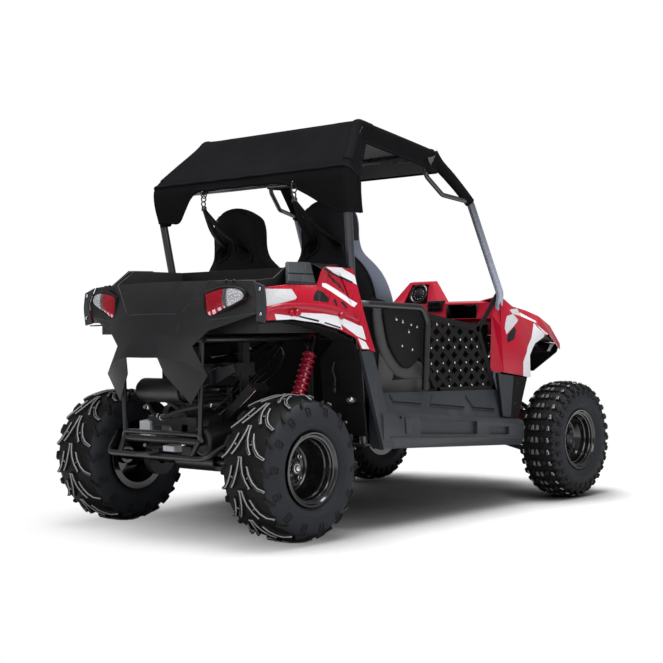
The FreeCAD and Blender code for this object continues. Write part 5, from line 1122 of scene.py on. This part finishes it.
print("net strands and borders", len(net), "rivets", 2 * len(rivets))

# %% [markdown]
# ## Graphics on the wings
# The wings carry a decal: grey, white and black shapes with straight edges over the red. An
# image would need a picture file and would blur close up. A shape with straight edges is a
# set of half planes, so the paint material works out for every point how far inside each edge it
# lies and keeps the smallest of those distances. The same sums serve both sides of the vehicle.

# %% Shapes from half planes
REAR_DECAL = {
    "haze": [[(.9296, .8332), (.8111, .8342), (.7939, .8075), (.8064, .7977), (.8729, .7862), (.9344, .7737)]],
    "black": [[(.6893, .8341), (.6735, .8287), (.6492, .8064), (.6554, .7909), (.7216, .7973), (.7114, .8141)],
              [(.6568, .911), (.5154, .8646), (.5163, .857), (.6569, .9022)],
              [(.7935, .7472), (.7079, .7321), (.7109, .7252), (.7922, .7412)],
              [(.6831, .7265), (.6058, .7082), (.6068, .7025), (.6841, .721)],
              [(.636, .886), (.6245, .8905), (.599, .86), (.606, .856)],
              [(.613, .874), (.606, .876), (.576, .842), (.584, .84)],
              [(.59, .862), (.583, .864), (.56, .83), (.568, .828)],
              [(.63, .801), (.616, .803), (.609, .78), (.62, .779)],
              [(.595, .794), (.576, .796), (.556, .772), (.568, .771)]],
    "white": [[(.6504, .9114), (.5664, .9112), (.5027, .8866), (.4911, .8521), (.5163, .8616), (.656, .906)],
              [(.65, .856), (.643, .852), (.538, .806), (.545, .811), (.642, .853)],
              [(.8935, .7525), (.8116, .7445), (.8116, .7222), (.8866, .7256)],
              [(.812, .7445), (.7926, .7568), (.6803, .753), (.6867, .7168), (.812, .7222)],
              [(.6803, .753), (.6128, .7448), (.5984, .6997), (.687, .7168)],
              [(.6132, .7448), (.5833, .7364), (.4926, .7193), (.4707, .6501), (.5277, .6794), (.5988, .6997)],
              [(.5153, .6707), (.4744, .6559), (.4594, .6327), (.4959, .6333)]],
    "slash": [[(.6665, .8569), (.6511, .8557), (.5048, .7897), (.5223, .7766), (.6692, .8456)]],
}
FRONT_DECAL = {
    "haze": [[(-.4264, .7486), (-.4823, .758), (-.5186, .7349), (-.4985, .721), (-.4702, .7087),
              (-.3977, .6753), (-.3899, .6998), (-.4012, .7211)],
             [(-.4378, .764), (-.4714, .7765), (-.5336, .78), (-.5445, .7521), (-.5102, .7396),
              (-.4823, .758)]],
    "black": [[(-.4702, .7056), (-.4868, .6947), (-.4526, .6565), (-.4053, .6417), (-.4001, .657),
               (-.4059, .6753)]],
    "white": [[(-.66, .723), (-.56, .627), (-.6467, .6228), (-.719, .676)],
              [(-.56, .627), (-.513, .564), (-.5839, .5392), (-.599, .5733), (-.6467, .6228)],
              [(-.513, .564), (-.51, .502), (-.5862, .49), (-.5839, .5392)],
              [(-.6838, .7176), (-.719, .676), (-.7611, .6661)],
              [(-.5447, .7645), (-.6841, .7303), (-.6899, .7208), (-.5445, .749)]],
}
WHITE, SLASH, BLACK = (.72, .72, .76), (.78, .76, .78), (.012, .012, .014)


def inside(tree, y, z, outline):
    """Distance of each point to the nearest edge of a convex outline of (y, z) points: above 0
    inside it. Each edge is one half plane, and the outline is where all of them meet."""
    edges = list(zip(outline, outline[1:] + outline[:1]))
    turning = math.copysign(1.0, sum(a[0] * b[1] - b[0] * a[1] for a, b in edges))
    gaps = []
    for a, b in edges:
        normal = unit((a[1] - b[1], b[0] - a[0])) * turning
        rise = calc(tree, "MULTIPLY_ADD", z, float(normal[1]), float(-normal @ a))
        gaps.append(calc(tree, "MULTIPLY_ADD", y, float(normal[0]), rise))
    return joined(tree, "MINIMUM", gaps)


def joined(tree, operation, values):
    """One Math operation carried through a list of outputs."""
    result = values[0]
    for value in values[1:]:
        result = calc(tree, operation, result, value)
    return result


def decal_group(name, shapes):
    """Masks of a decal: each named set of convex outlines gives 1 inside any of its shapes."""
    group, edge, out = new_group(name, "Edge", .0006, list(shapes))
    parts = split(group, place_in(group))
    for key, outlines in shapes.items():
        gaps = [inside(group, parts["Y"], parts["Z"], outline) for outline in outlines]
        best = joined(group, "MAXIMUM", gaps)
        group.links.new(ramp(group, calc(group, "DIVIDE", best, edge), -1.0, 1.0), out[key])
    return group


def wing_paint(name, shapes, lean, amount):
    """Glossy red with thin darker lines that lean across it by an amount, under the shapes of a
    decal. The edge that the rear wing turns in under its pad is painted near black as painted shade."""
    material, tree, wire = principled(name + "_wing_paint", roughness=.3, coat=.08, shine=.22)
    where = place_in(tree)
    parts, skin = split(tree, where), effect(tree, GRAIN, Scale=300.0)
    drawn = effect(tree, decal_group(name + "_decal", shapes))
    across = calc(tree, "MULTIPLY_ADD", parts["Z"], math.cos(lean), product(tree, parts["Y"], math.sin(lean)))
    beat = calc(tree, "SINE", product(tree, across, 2 * math.pi / .021))
    lines = product(tree, ramp(tree, beat, .8, .95), ramp(tree, noise(tree, where, 16.0, 1.0), .46, .56),
                    amount)
    speck = product(tree, ramp(tree, noise(tree, where, 260.0), .52, .62), .5)
    red = mixed(tree, skin["Cloud"], (.36, .004, .02), (.43, .006, .025))
    colour = mixed(tree, lines, red, (.16, .008, .016))
    grey = mixed(tree, speck, (.55, .555, .57), (.3, .3, .31))
    for key, tint in (("haze", grey), ("white", WHITE), ("slash", SLASH), ("black", BLACK)):
        if key in shapes:
            colour = mixed(tree, drawn[key], colour, tint)
    # painted shade: towards the tail, the red flange turned in under the pad is painted near black
    outer = ramp(tree, calc(tree, "ABSOLUTE", parts["X"]), .443, .447)
    painted_shade_under_pad = product(tree, calc(tree, "SUBTRACT", 1.0, outer), ramp(tree, parts["Y"], 0.0, .1))
    wire("Base Color", mixed(tree, painted_shade_under_pad, colour, (.01, .01, .012)))
    wire("Normal", bumped(tree, skin["Height"], .04, .0006))
    return material


rear_wing_paint = wing_paint("rear", REAR_DECAL, math.radians(62), 1.0)
front_wing_paint = wing_paint("front", FRONT_DECAL, math.radians(-30), .15)
for word in ("left", "right"):
    panels["rear_fender_" + word].data.materials[0] = rear_wing_paint
    panels["front_fender_" + word].data.materials[0] = front_wing_paint
print("decal shapes:", sum(len(o) for o in [*REAR_DECAL.values(), *FRONT_DECAL.values()]))

# %% [markdown]
# ## Things that lie on a panel
# Ridges, grooves, plates and screw heads follow the panel beneath them. Their places are given
# roughly, and each point is moved to the nearest point of the panel's own mesh before it is
# raised, so nothing floats and nothing sinks.

# %% Following a panel
surfaces = {}


def on_panel(node, points):
    """The nearest points of a panel's surface, and its normals there turned away from the
    vehicle's middle, in the same layout as the points."""
    if node not in surfaces:
        mesh = nodes[node].data
        corners, faces = [v.co for v in mesh.vertices], [tuple(p.vertices) for p in mesh.polygons]
        surfaces[node] = BVHTree.FromPolygons(corners, faces)
    points = np.asarray(points, float)
    found = []
    for point in points.reshape(-1, 3):
        place, normal, _, _ = surfaces[node].find_nearest(Vector(point))
        found.append((place, -normal if normal.dot(Vector(point) - Vector((0, 0, .5))) < 0 else normal))
    return np.array(found).transpose(1, 0, 2).reshape(2, *points.shape)


def slab(rows, normals, thickness, sink=.001):
    """Closed sheet over an (n, m, 3) grid of surface points: its top stands the thickness above
    them and its underside lies sunk a little beneath."""
    rows = np.asarray(rows, float)
    n, m = rows.shape[:2]
    normals = np.broadcast_to(np.asarray(normals, float), rows.shape)
    top = rows + normals * np.broadcast_to(thickness, (n, m))[..., None]
    faces = grid_faces(n, m)
    faces += [[k + n * m for k in f[::-1]] for f in faces]
    order = [*range(m - 1), *range(m - 1, n * m - 1, m), *range(n * m - 1, (n - 1) * m, -1),
             *range((n - 1) * m, 0, -m)]
    faces += [[b, a, a + n * m, b + n * m] for a, b in zip(order, order[1:] + order[:1])]
    return np.concatenate([top, rows - normals * sink]).reshape(-1, 3), [f[::-1] for f in faces]


def between(corners, s, t):
    """A point of a face with four corners: s runs along its first edge, t across it."""
    a, b, c, d = corners
    return (a * (1 - s) + b * s) * (1 - t) + (d * (1 - s) + c * s) * t


def quad_grid(corners, n, m):
    """Grid of points over four corners: along the first edge in n steps and across in m."""
    return between(np.asarray(corners, float), np.linspace(0, 1, n)[:, None, None],
                   np.linspace(0, 1, m)[None, :, None])


def laid_plate(node, corners, thickness, n=7, m=5):
    """A plate laid on a panel between four rough corners."""
    return slab(*on_panel(node, quad_grid(corners, n, m)), thickness)


def laid_bead(node, line, width, height, count=26):
    """A rounded bead along a line on a panel."""
    path = smooth_line(line, count)
    places, normals = on_panel(node, path)
    side = unit(np.cross(np.gradient(path, axis=0), normals))
    across = np.linspace(-.5, .5, 5)
    grid = places[:, None] + side[:, None] * (across * width)[None, :, None]
    return slab(grid, normals[:, None], height * (1 - (2 * across) ** 2) ** .5)


def screw_heads(node, points, radius, height=.003):
    """Round screw heads standing on a panel."""
    profile = [(-.001, 0), (-.001, radius), (height * .6, radius), (height, radius * .72), (height, 0)]
    return [spun(profile, p, 14, n) for p, n in zip(*on_panel(node, points))]


# %% [markdown]
# ## Rear wing: arch ridge, pads, end strip
# A smooth red moulding runs over the arch with a boss near each end, the grey pad on top is
# broken up by narrow grooves, and a grey strip closes the wing at the tail. The pads' grooves are
# the gaps between separate thin plates, which keeps their edges crisp.

# %% Arch ridge and bosses
RIDGE_TOP = [(.9323, .771), (.8729, .7835), (.7779, .7911), (.685, .7879), (.6081, .773), (.4996, .7337)]
RIDGE_LOW = [(.932, .756), (.878, .765), (.79, .769), (.69, .761), (.6124, .7476), (.4963, .7251)]
RIDGE_COUNT, RIDGE_WIDE, RIDGE_HEIGHT = 40, 7, .0075
top, low = (smooth_line([(.49, *p) for p in line], RIDGE_COUNT)[:, None] for line in (RIDGE_TOP, RIDGE_LOW))
t = np.linspace(0, 1, RIDGE_WIDE)[None, :, None]
crown = RIDGE_HEIGHT * np.sin(np.linspace(0, math.pi, RIDGE_WIDE)) ** .6
step = np.arange(RIDGE_COUNT)
ends = np.clip(np.minimum(step, step[::-1]) / 4.0, 0, 1)[:, None] ** .5
arch = [slab(*on_panel("rear_fender_left", top * (1 - t) + low * t), crown[None] * ends)]
arch += screw_heads("rear_fender_left", [(.49, .8034, .756), (.49, .5991, .746)], .0125, .012)
arch += screw_heads("rear_fender_left", [(.49, .8285, .7545)], .01, .008)
both_sides("arch_ridges", arch, "red_paint", red_gloss, .001)

# %% Pads and end strips
PAD_CORNERS = np.array([(.461, .69, .852), (.46, .83, .855), (.402, .77, .928), (.402, .652, .93)])
PAD_PANES = [(.03, .31, .44, .97), (.345, .97, .44, .97), (.03, .47, .05, .385), (.505, .97, .05, .385)]
panes = [laid_plate("fender_pads", [between(PAD_CORNERS, s, t) for s, t in ((a, c), (b, c), (b, d), (a, d))],
                    .0035)
         for a, b, c, d in PAD_PANES]
both_sides("pad_panes", panes, "panel_grey", panel_grey, .0012)
strip_inner = smooth_line([(.404, .93, .86), (.428, .9385, .802), (.423, .934, .756), (.418, .932, .73)], 9)
strip_outer = smooth_line([(.4555, .932, .842), (.462, .934, .79), (.459, .933, .75), (.456, .932, .724)], 9)
strip = np.stack([strip_inner, strip_outer], 1)
strip_out = unit(np.cross(strip[-1, 0] - strip[0, 0], strip[0, 1] - strip[0, 0]))
strip_out = strip_out * math.copysign(1.0, strip_out[1])
both_sides("tail_strips", [slab(strip, strip_out, .002, .003)], "panel_grey", panel_grey, .0008)
bolts = [spun([(-.001, 0), (-.001, .0055), (.003, .0055), (.004, .0035), (.004, 0)], p + strip_out * .002, 12,
              strip_out)
         for p in ((.44, .9345, .832), (.444, .9355, .752))]
both_sides("strip_bolts", bolts, "steel", bright_steel)

# %% [markdown]
# ## Lamps
# Each tail lamp is a domed teardrop in a black surround: dark red inside, clear at the outer tip,
# with pale bars low down. The dome is a set of outlines that shrink towards the middle while
# they rise. The head lamps are clear wedges over a dark bowl.

# %% Domes and surrounds
def outline_ring(outline, out):
    """A closed flat outline made smooth, its middle, and the direction that it faces."""
    ring = smooth_line(list(outline) + [outline[0]], 41)[:-1]
    return ring, ring.mean(axis=0), unit(out)


def dome(outline, out, height, rings=6):
    """Closed dome over a flat outline: rings shrink towards its middle and rise by the height
    as a quarter of an ellipse does; a last ring closes the back."""
    ring, middle, out = outline_ring(outline, out)
    count = len(ring)
    rows = [ring - out * .004] + [middle + (ring - middle) * math.sqrt(1 - share ** 2) + out * height * share
                                  for share in np.arange(rings) / rings]
    faces = grid_faces(len(rows), count, wrap_columns=True)
    last, peak = (len(rows) - 1) * count, len(rows) * count
    for k in range(count):
        faces += [[last + k, peak, last + (k + 1) % count], [k, (k + 1) % count, peak + 1]]
    return np.concatenate(rows + [[middle + out * height, middle - out * .004]]), faces


def surround(outline, out, width=.008, height=.004):
    """A raised frame round an outline."""
    ring, middle, out = outline_ring(outline, out)
    section = [(0, -.004), (0, height), (width * .35, height * 1.15), (width, .0005), (width, -.004)]
    rows = [ring + unit(ring - middle) * a + out * b for a, b in section]
    return np.concatenate(rows), grid_faces(len(rows), len(ring), wrap_rows=True, wrap_columns=True)


# %% Lenses
def lens_material():
    """Lamp glass on dark backing: red inside, clear at the tip, fine cells whose centres are painted
    lighter as glints, and pale bars low down between two lines."""
    material, tree, wire = principled("tail_lens", roughness=.2, coat=.15, shine=.2)
    where = place_in(tree)
    parts = split(tree, where)
    x = calc(tree, "ABSOLUTE", parts["X"])
    cells = add_node(tree, "TexVoronoi", {"Scale": 210.0, "Vector": where}).outputs["Distance"]
    # bright cell centres are painted glints
    sparkle = ramp(tree, cells, .15, .55)
    red = mixed(tree, sparkle, (.42, .004, .02), (.22, .002, .01))
    clear = mixed(tree, sparkle, (.8, .8, .83), (.3, .3, .33))
    dark = mixed(tree, sparkle, (.16, .15, .16), (.05, .05, .055))
    colour = mixed(tree, ramp(tree, x, .304, .306), red, dark)
    colour = mixed(tree, ramp(tree, x, .318, .326), colour, clear)
    low = calc(tree, "MULTIPLY_ADD", x, -.3, parts["Z"])
    bars = ramp(tree, calc(tree, "SINE", product(tree, x, 2 * math.pi / .022)), -.25, -.05)
    zone = product(tree, ramp(tree, low, .6885, .6875), ramp(tree, x, .2435, .2445), ramp(tree, x, .312, .311))
    wire("Base Color", mixed(tree, product(tree, bars, zone), colour, (.85, .42, .5)))
    wire("Normal", bumped(tree, sparkle, .25, .0012))
    return material


tail_lens = lens_material()
clear_lens = principled("clear_lens", roughness=.05, coat=1.0, colour=(.42, .44, .47, 1.0))[0]
TAIL_FACING, HEAD_FACING = (.16, 1.0, .02), (.28, -.95, .12)
TAIL_OUTLINE = [(x, .978 - (x - .226) * .16, z) for x, z in (
    (.228, .822), (.24, .75), (.3, .769), (.381, .804), (.367, .833), (.3, .838))]
HEAD_OUTLINE = [(.392, -.953, .628), (.245, -.999, .648), (.239, -1.005, .622), (.366, -.963, .604)]
both_sides("tail_lenses", [dome(TAIL_OUTLINE, TAIL_FACING, .011)], "lamp_red", tail_lens)
both_sides("tail_surrounds", [surround(TAIL_OUTLINE, TAIL_FACING)], "panel_black", liner_black)
both_sides("head_lenses", [dome(HEAD_OUTLINE, HEAD_FACING, .01)], "lamp_clear", clear_lens)
both_sides("head_bowls", [surround(HEAD_OUTLINE, HEAD_FACING)], "panel_black", liner_black)

# %% [markdown]
# ## Engine bay from behind
# Below the tail panel the engine shows: pale cast covers on the left, a round dark canister on
# the right, hoses, wires, a brake caliper and some bright fittings. Each is a small turned or
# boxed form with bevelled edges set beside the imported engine; a full engine model would not be
# seen.

# %% Boxes and turned forms
def block(low, high, taper=0.0):
    """A box between two corners whose rear face is drawn in by the taper."""
    (x0, y0, z0), (x1, y1, z1) = low, high
    rings = [[(x0 + t, y, z0 + t), (x1 - t, y, z0 + t), (x1 - t, y, z1 - t), (x0 + t, y, z1 - t)]
             for y, t in ((y0, 0.0), (y1, taper))]
    return carried(np.array(rings))


def capped(start, end, profile, around=28):
    """A turned form from start towards end: profile gives (distance, radius) points."""
    return spun([(0, 0), *profile, (profile[-1][0], 0)], start, around, np.subtract(end, start))


def piped(lines, around=8, count=30):
    """Round cords, hoses or wires through points: (points, radius) pairs."""
    return [tube(smooth_line(points, count), radius, around) for points, radius in lines]


# %% Covers, battery and looms
one_piece("grey_covers", [capped((.126, .88, .356), (.02, .88, .356),
                                 [(0, .02), (.004, .026), (.09, .026), (.102, .018)])],
          "casting", cover_grey, .001)
one_piece("battery", [block((-.125, .7, .508), (-.06, .85, .586), .006),
                      block((-.127, .705, .574), (-.058, .845, .592), .004)],
          "panel_black", panel_black, .003)
LOOMS = [([(-.19, .798, .473), (-.19, .699, .546), (-.19, .619, .607), (-.19, .561, .661)], .0055),
         ([(-.18, .82, .496), (-.18, .71, .57), (-.18, .597, .646), (-.18, .503, .676)], .004),
         ([(-.2, .687, .515), (-.205, .619, .552), (-.2, .572, .606), (-.195, .583, .646)], .0045),
         ([(-.14, .865, .611), (-.15, .736, .624), (-.14, .646, .639), (-.135, .577, .669)], .006),
         ([(-.13, .88, .56), (-.15, .79, .59), (-.15, .7, .6), (-.16, .6, .64)], .0035)]
one_piece("wiring_looms", piped(LOOMS), "casting", rim_gloss)
guard_lines = [([(-.16, .855, .413), (-.16, .623, .551)], .0016),
               ([(-.16, .88, .432), (-.16, .648, .566)], .0012)]
one_piece("guard_edges", piped(guard_lines, 6, 8), "steel", cover_grey)
one_piece("bay_fitting", [capped((-.146, .69, .636), (-.12, .66, .636),
                                 [(0, .0075), (.006, .0085), (.01, .006)])],
          "steel", bright_steel, .0006)
one_piece("under_bed_box", [block((-.07, .7, .5), (.145, .85, .66), .01)], "panel_black", liner_black, .006)
one_piece("pale_covers", [block((.128, .87, .324), (.188, .912, .388), .003),
                          block((.04, .84, .276), (.104, .878, .302), .003)],
          "casting", cast_metal, .003)
one_piece("dark_covers", [block((-.05, .842, .262), (.006, .88, .306), .004),
                          block((.076, .904, .34), (.112, .912, .372), .003),
                          block((-.06, .85, .34), (-.016, .9, .386), .005)], "casting", dark_casting, .003)
one_piece("caliper", [block((.128, .842, .268), (.172, .872, .312), .003)], "casting", dark_casting, .003)

# %% Canister, hoses and fittings
CANISTER_FRONT = (-.196, .76, .352)
CANISTER = [(0, .012), (.003, .014), (.004, .032), (0, .04), (.001, .046), (.008, .0505), (.016, .0505),
            (.018, .048), (.15, .048), (.165, .038), (.178, .022)]
one_piece("canister", [capped((-.178, .958, .33), CANISTER_FRONT, CANISTER, 40)], "exhaust", dark_casting,
          .0008)
one_piece("canister_spout", [capped((-.177, .968, .329), CANISTER_FRONT, [(0, .0085), (.012, .0095)])],
          "steel", bright_steel, .001)
HOSES = [  # points, radius, number of steps
    ([(.06, .925, .398), (.007, .948, .407), (-.078, .95, .431), (-.168, .946, .448), (-.215, .9, .455)],
     .0085, 30),
    ([(.19, .88, .47), (.15, .9, .452), (.12, .905, .415), (.06, .915, .398)], .0065, 20),
    ([(.11, .9, .5), (.06, .915, .47), (-.01, .915, .44), (-.04, .89, .4)], .0075, 20),
    ([(-.02, .88, .33), (-.05, .905, .318), (-.095, .91, .325), (-.13, .88, .35)], .007, 18),
    ([(.18, .86, .33), (.19, .88, .3), (.15, .89, .292), (.104, .87, .294)], .006, 18),
    ([(-.12, .86, .52), (-.09, .9, .49), (-.04, .905, .455), (-.03, .88, .41)], .005, 18),
]
hoses = [(smooth_line(points, count), radius) for points, radius, count in HOSES]
one_piece("hoses", [tube(line, radius) for line, radius in hoses], "grip_rubber", grip_rubber)
clamps = []
for line, radius in hoses[:4]:
    band = [(-.004, radius * .9), (-.004, radius + .0022), (.004, radius + .0022), (.004, radius * .9)]
    clamps += [spun(band, line[k], 20, line[k + 1] - line[k - 1], closed=True) for k in (3, len(line) - 4)]
one_piece("hose_clamps", clamps, "steel", bright_steel)
bright = [capped((.172, .89, .463), (.172, .96, .47), [(0, .013), (.01, .013), (.014, .009), (.022, .009)]),
          capped((.15, .895, .433), (.15, .96, .436), [(0, .011), (.012, .011), (.016, .006), (.024, .006)]),
          block((-.158, .846, .497), (-.074, .852, .503)),
          capped((.15, .915, .3), (.15, .96, .3), [(0, .006), (.006, .006)])]
one_piece("bright_fittings", bright, "steel", bright_steel, .0006)
plate = [[(-.092, .826, .505), (-.092, .826, .566)], [(-.214, .826, .56), (-.206, .826, .586)]]
one_piece("grey_plate", [slab(plate, (0, 1, 0), .003)], "panel_grey", panel_grey, .001)
one_piece("box_trim", piped([([(-.145, .815, .392), (-.292, .815, .505)], .0022)], 8, 6), "spring_red",
          red_gloss)
one_piece("box_edge", piped([([(-.152, .8145, .387), (-.298, .8145, .499)], .0016)], 8, 6), "steel",
          bright_steel)

# %% [markdown]
# ## Dash
# The instrument pod holds a round black dial behind a bezel, and beside it sits a block of
# push switches. The glove recess is lined in black.

# %% Dial, switches and glove liner
DIAL_PLACE, DIAL_OUT = np.array((.003, -.4915, .85)), np.array((0, .93, .37))
pod_face = [[(-.062, -.4785, .806), (-.0455, -.5125, .889)], [(.071, -.4785, .806), (.0455, -.5125, .889)]]
one_piece("pod_face", [slab(pod_face, unit(DIAL_OUT), .002)], "panel_black", liner_black)
lining = [block((-.3295, -.4955, .7425), (-.1785, -.4945, .799)),
          block((-.3295, -.4945, .7425), (-.1785, -.437, .7435)),
          block((-.3295, -.4945, .7435), (-.3285, -.437, .799)),
          block((-.1795, -.4945, .7435), (-.1785, -.437, .799))]
one_piece("glove_lining", lining, "panel_black", liner_black)
bezel = spun([(-.004, .03), (.006, .036), (.008, .041), (.004, .046), (-.004, .046)], DIAL_PLACE, 48, DIAL_OUT,
             closed=True)
one_piece("dial_bezel", [bezel], "panel_black", rim_gloss)
face = capped(DIAL_PLACE - DIAL_OUT * .003, DIAL_PLACE + DIAL_OUT, [(0, .031), (.003, .031)])
one_piece("dial_face", [face], "panel_black", liner_black)
dial_up = np.cross((1.0, 0, 0), unit(DIAL_OUT))
ticks = [spun([(-.001, 0), (-.001, .0016), (.0012, .0016), (.0012, 0)],
              DIAL_PLACE + (math.sin(turn) * np.array((1.0, 0, 0)) - math.cos(turn) * dial_up) * .024, 6,
              DIAL_OUT)
         for turn in np.radians(np.arange(-120, 121, 30))]
one_piece("dial_marks", ticks, "lamp_clear", clear_lens)
one_piece("switch_block", [block((-.158, -.46, .77), (-.076, -.44, .82), .003)], "panel_black", panel_black,
          .002)
switches = [block((-.152 + k * .024, -.443, .778 + r * .02), (-.132 + k * .024, -.433, .794 + r * .02), .002)
            for k in range(3) for r in range(2)]
one_piece("switches", switches, "panel_black", rim_gloss, .001)

# %% [markdown]
# ## Wing corners, sills and small side details
# The rear wing runs a little further forward than its packed panel, past the foot of the hoop,
# and ends in a folded edge. The sill's slanted inner face carries embossed chevrons, and
# its side has a raised block and a ring for a strap. They are thin closed plates and beads again.

# %% Wing corner over the hoop foot
WING_FACING = (.985, .02, .17)
WING_EDGE = [(.502, .43, .6215), (.4985, .451, .676), (.4925, .468, .733), (.486, .48, .786),
             (.479, .489, .832), (.473, .497, .868), (.469, .506, .908)]
PACKED_EDGE = [(.5, .45, .627), (.496, .476, .676), (.49, .5, .733), (.483, .518, .786), (.4765, .533, .832),
               (.4705, .545, .868), (.466, .556, .899)]
outer, packed = smooth_line(WING_EDGE, 26), smooth_line(PACKED_EDGE, 26)
rows = [outer + (-.01, .004, 0), outer, (outer + packed) / 2 + (.0012, 0, 0), packed + (.0006, 0, 0),
        packed + (packed - outer) * .35 + (.0004, 0, 0)]
top = smooth_line([(.469, .506, .908), (.469, .566, .9115), (.468, .654, .911), (.465, .688, .856)], 20)
base = smooth_line([(.466, .52, .89), (.464, .57, .893), (.464, .64, .894), (.463, .674, .85)], 20)
corners = [slab(np.stack(rows, 1), WING_FACING, .0016, .0012),
           slab(np.stack([top, base], 1), WING_FACING, .0014, .0016)]
both_sides("wing_corners", corners, "red_paint", rear_wing_paint, .0008)

# %% Sill chevrons, block and ring
CHEVRONS = [[(.31, .469), (.296, .44), (.136, .425)], [(.057, .456), (.083, .422), (-.136, .4)],
            [(-.152, .444), (-.194, .396), (-.342, .382)]]
LIPS = [([(.203, .38), (-.154, .354)], .004, .0022), ([(.199, .316), (-.153, .293)], .004, .0022),
        ([(.375, .321), (-.476, .262)], .005, .003)]


def sill_line(points, x, width, height):
    """A thin raised bead with square ends through (y, z) points on the sill."""
    made = []
    for a, b in zip(points, points[1:]):
        a, b = np.array((x, *a)), np.array((x, *b))
        places, normals = on_panel("rockers", np.linspace(a, b, 10))
        beside = np.cross(unit(b - a), normals)
        made.append(slab(places[:, None] + beside[:, None] * [[-width / 2], [width / 2]], normals[:, None],
                         height))
    return made


# the chevrons' grooves are thin near-black strips: painted shade in the grooves
grooves = [part for line in CHEVRONS for part in sill_line(line, .47, .005, .0008)]
both_sides("sill_groove_shade", grooves, "panel_black", liner_black)
lower = [[(y + .004, z - .006) for y, z in line] for line in CHEVRONS]
ridges = [part for line in lower for part in sill_line(line, .47, .003, .002)]
both_sides("sill_ridges", ridges, "panel_grey", panel_grey, .0006)
raised = laid_plate("rockers", [(.535, .262, .324), (.535, .292, .33), (.535, .296, .392), (.535, .258, .386)],
                    .006, 4, 4)
both_sides("sill_blocks", [raised], "panel_grey", panel_grey, .003)
ring_place = np.array((.5255, .32, .388))
turn = np.linspace(0, 2 * math.pi, 33)
ring = tube(ring_place + np.stack([0 * turn, np.cos(turn) * .0085, np.sin(turn) * .0085], 1), .0022, 8,
            caps=False)
both_sides("sill_rings", [ring], "panel_black", frame_paint)
# a black disc in the ring stands in for the shade inside the hole
hole_shade_disc = spun([(-.001, 0), (-.001, .008), (.0012, .0078), (.0012, 0)], ring_place - (.0012, 0, 0), 20)
both_sides("sill_hole_shade", [hole_shade_disc], "panel_black", liner_black)
lips = [part for line, width, height in LIPS for part in sill_line(line, .53, width, height)]
both_sides("sill_lips", lips, "panel_grey", panel_grey, .0008)

# %% Front column plate, liner fittings and tail panel creases
column = quad_grid([(.4955, -.342, .522), (.4955, -.45, .511), (.4955, -.428, .347), (.4955, -.374, .353)], 5,
                   3)
both_sides("column_plates", [slab(column, (1, 0, 0), .0012, .0012)], "panel_grey", panel_grey, .0006)
screws = [spun([(-.001, 0), (-.001, .0045), (.0022, .0042), (.0028, .0025), (.0028, 0)], (.4962, y, z), 12)
          for y, z in ((-.475, .48), (-.458, .4))]
both_sides("column_screws", screws, "steel", dark_casting)
bush = capped((.452, .49, .456), (.452, .54, .456), [(0, .013), (.018, .013), (.02, .008), (.03, .0075)], 24)
both_sides("liner_bushes", [bush], "steel", bright_steel, .0006)
hanger = piped([([(.377, .5, .59), (.372, .506, .56), (.384, .508, .53), (.38, .506, .5)], .0035)], 8, 16)
hanger.append(capped((.38, .506, .5), (.38, .506, .47), [(0, .006), (.018, .006), (.022, .003)]))
both_sides("liner_hangers", hanger, "steel", dark_casting)
# grey beads along the tail panel's creases and fold are painted highlights
creases = [laid_bead("rear_fascia", line, width, height) for line, width, height in (
    ([(.235, .962, .866), (.185, .985, .812), (.142, 1, .76), (.12, 1.01, .69)], .002, .0012),
    ([(.245, .985, .735), (.33, .955, .745), (.42, .935, .757)], .003, .001))]
both_sides("tail_crease_highlights", creases, "panel_grey", panel_grey)
fold = laid_bead("rear_fascia", [(.118, 1.012, .756), (.06, 1.016, .758), (.001, 1.016, .758)], .0024, .001)
both_sides("tail_fold_highlight", [fold], "panel_grey", panel_grey)
TAIL_BOLTS = [(.19, .985, .696), (.33, .955, .868), (.3, .958, .868), (.08, 1.02, .64)]
tail_bolts = screw_heads("rear_fascia", TAIL_BOLTS, .0055)
both_sides("tail_bolts", tail_bolts, "steel", dark_casting)
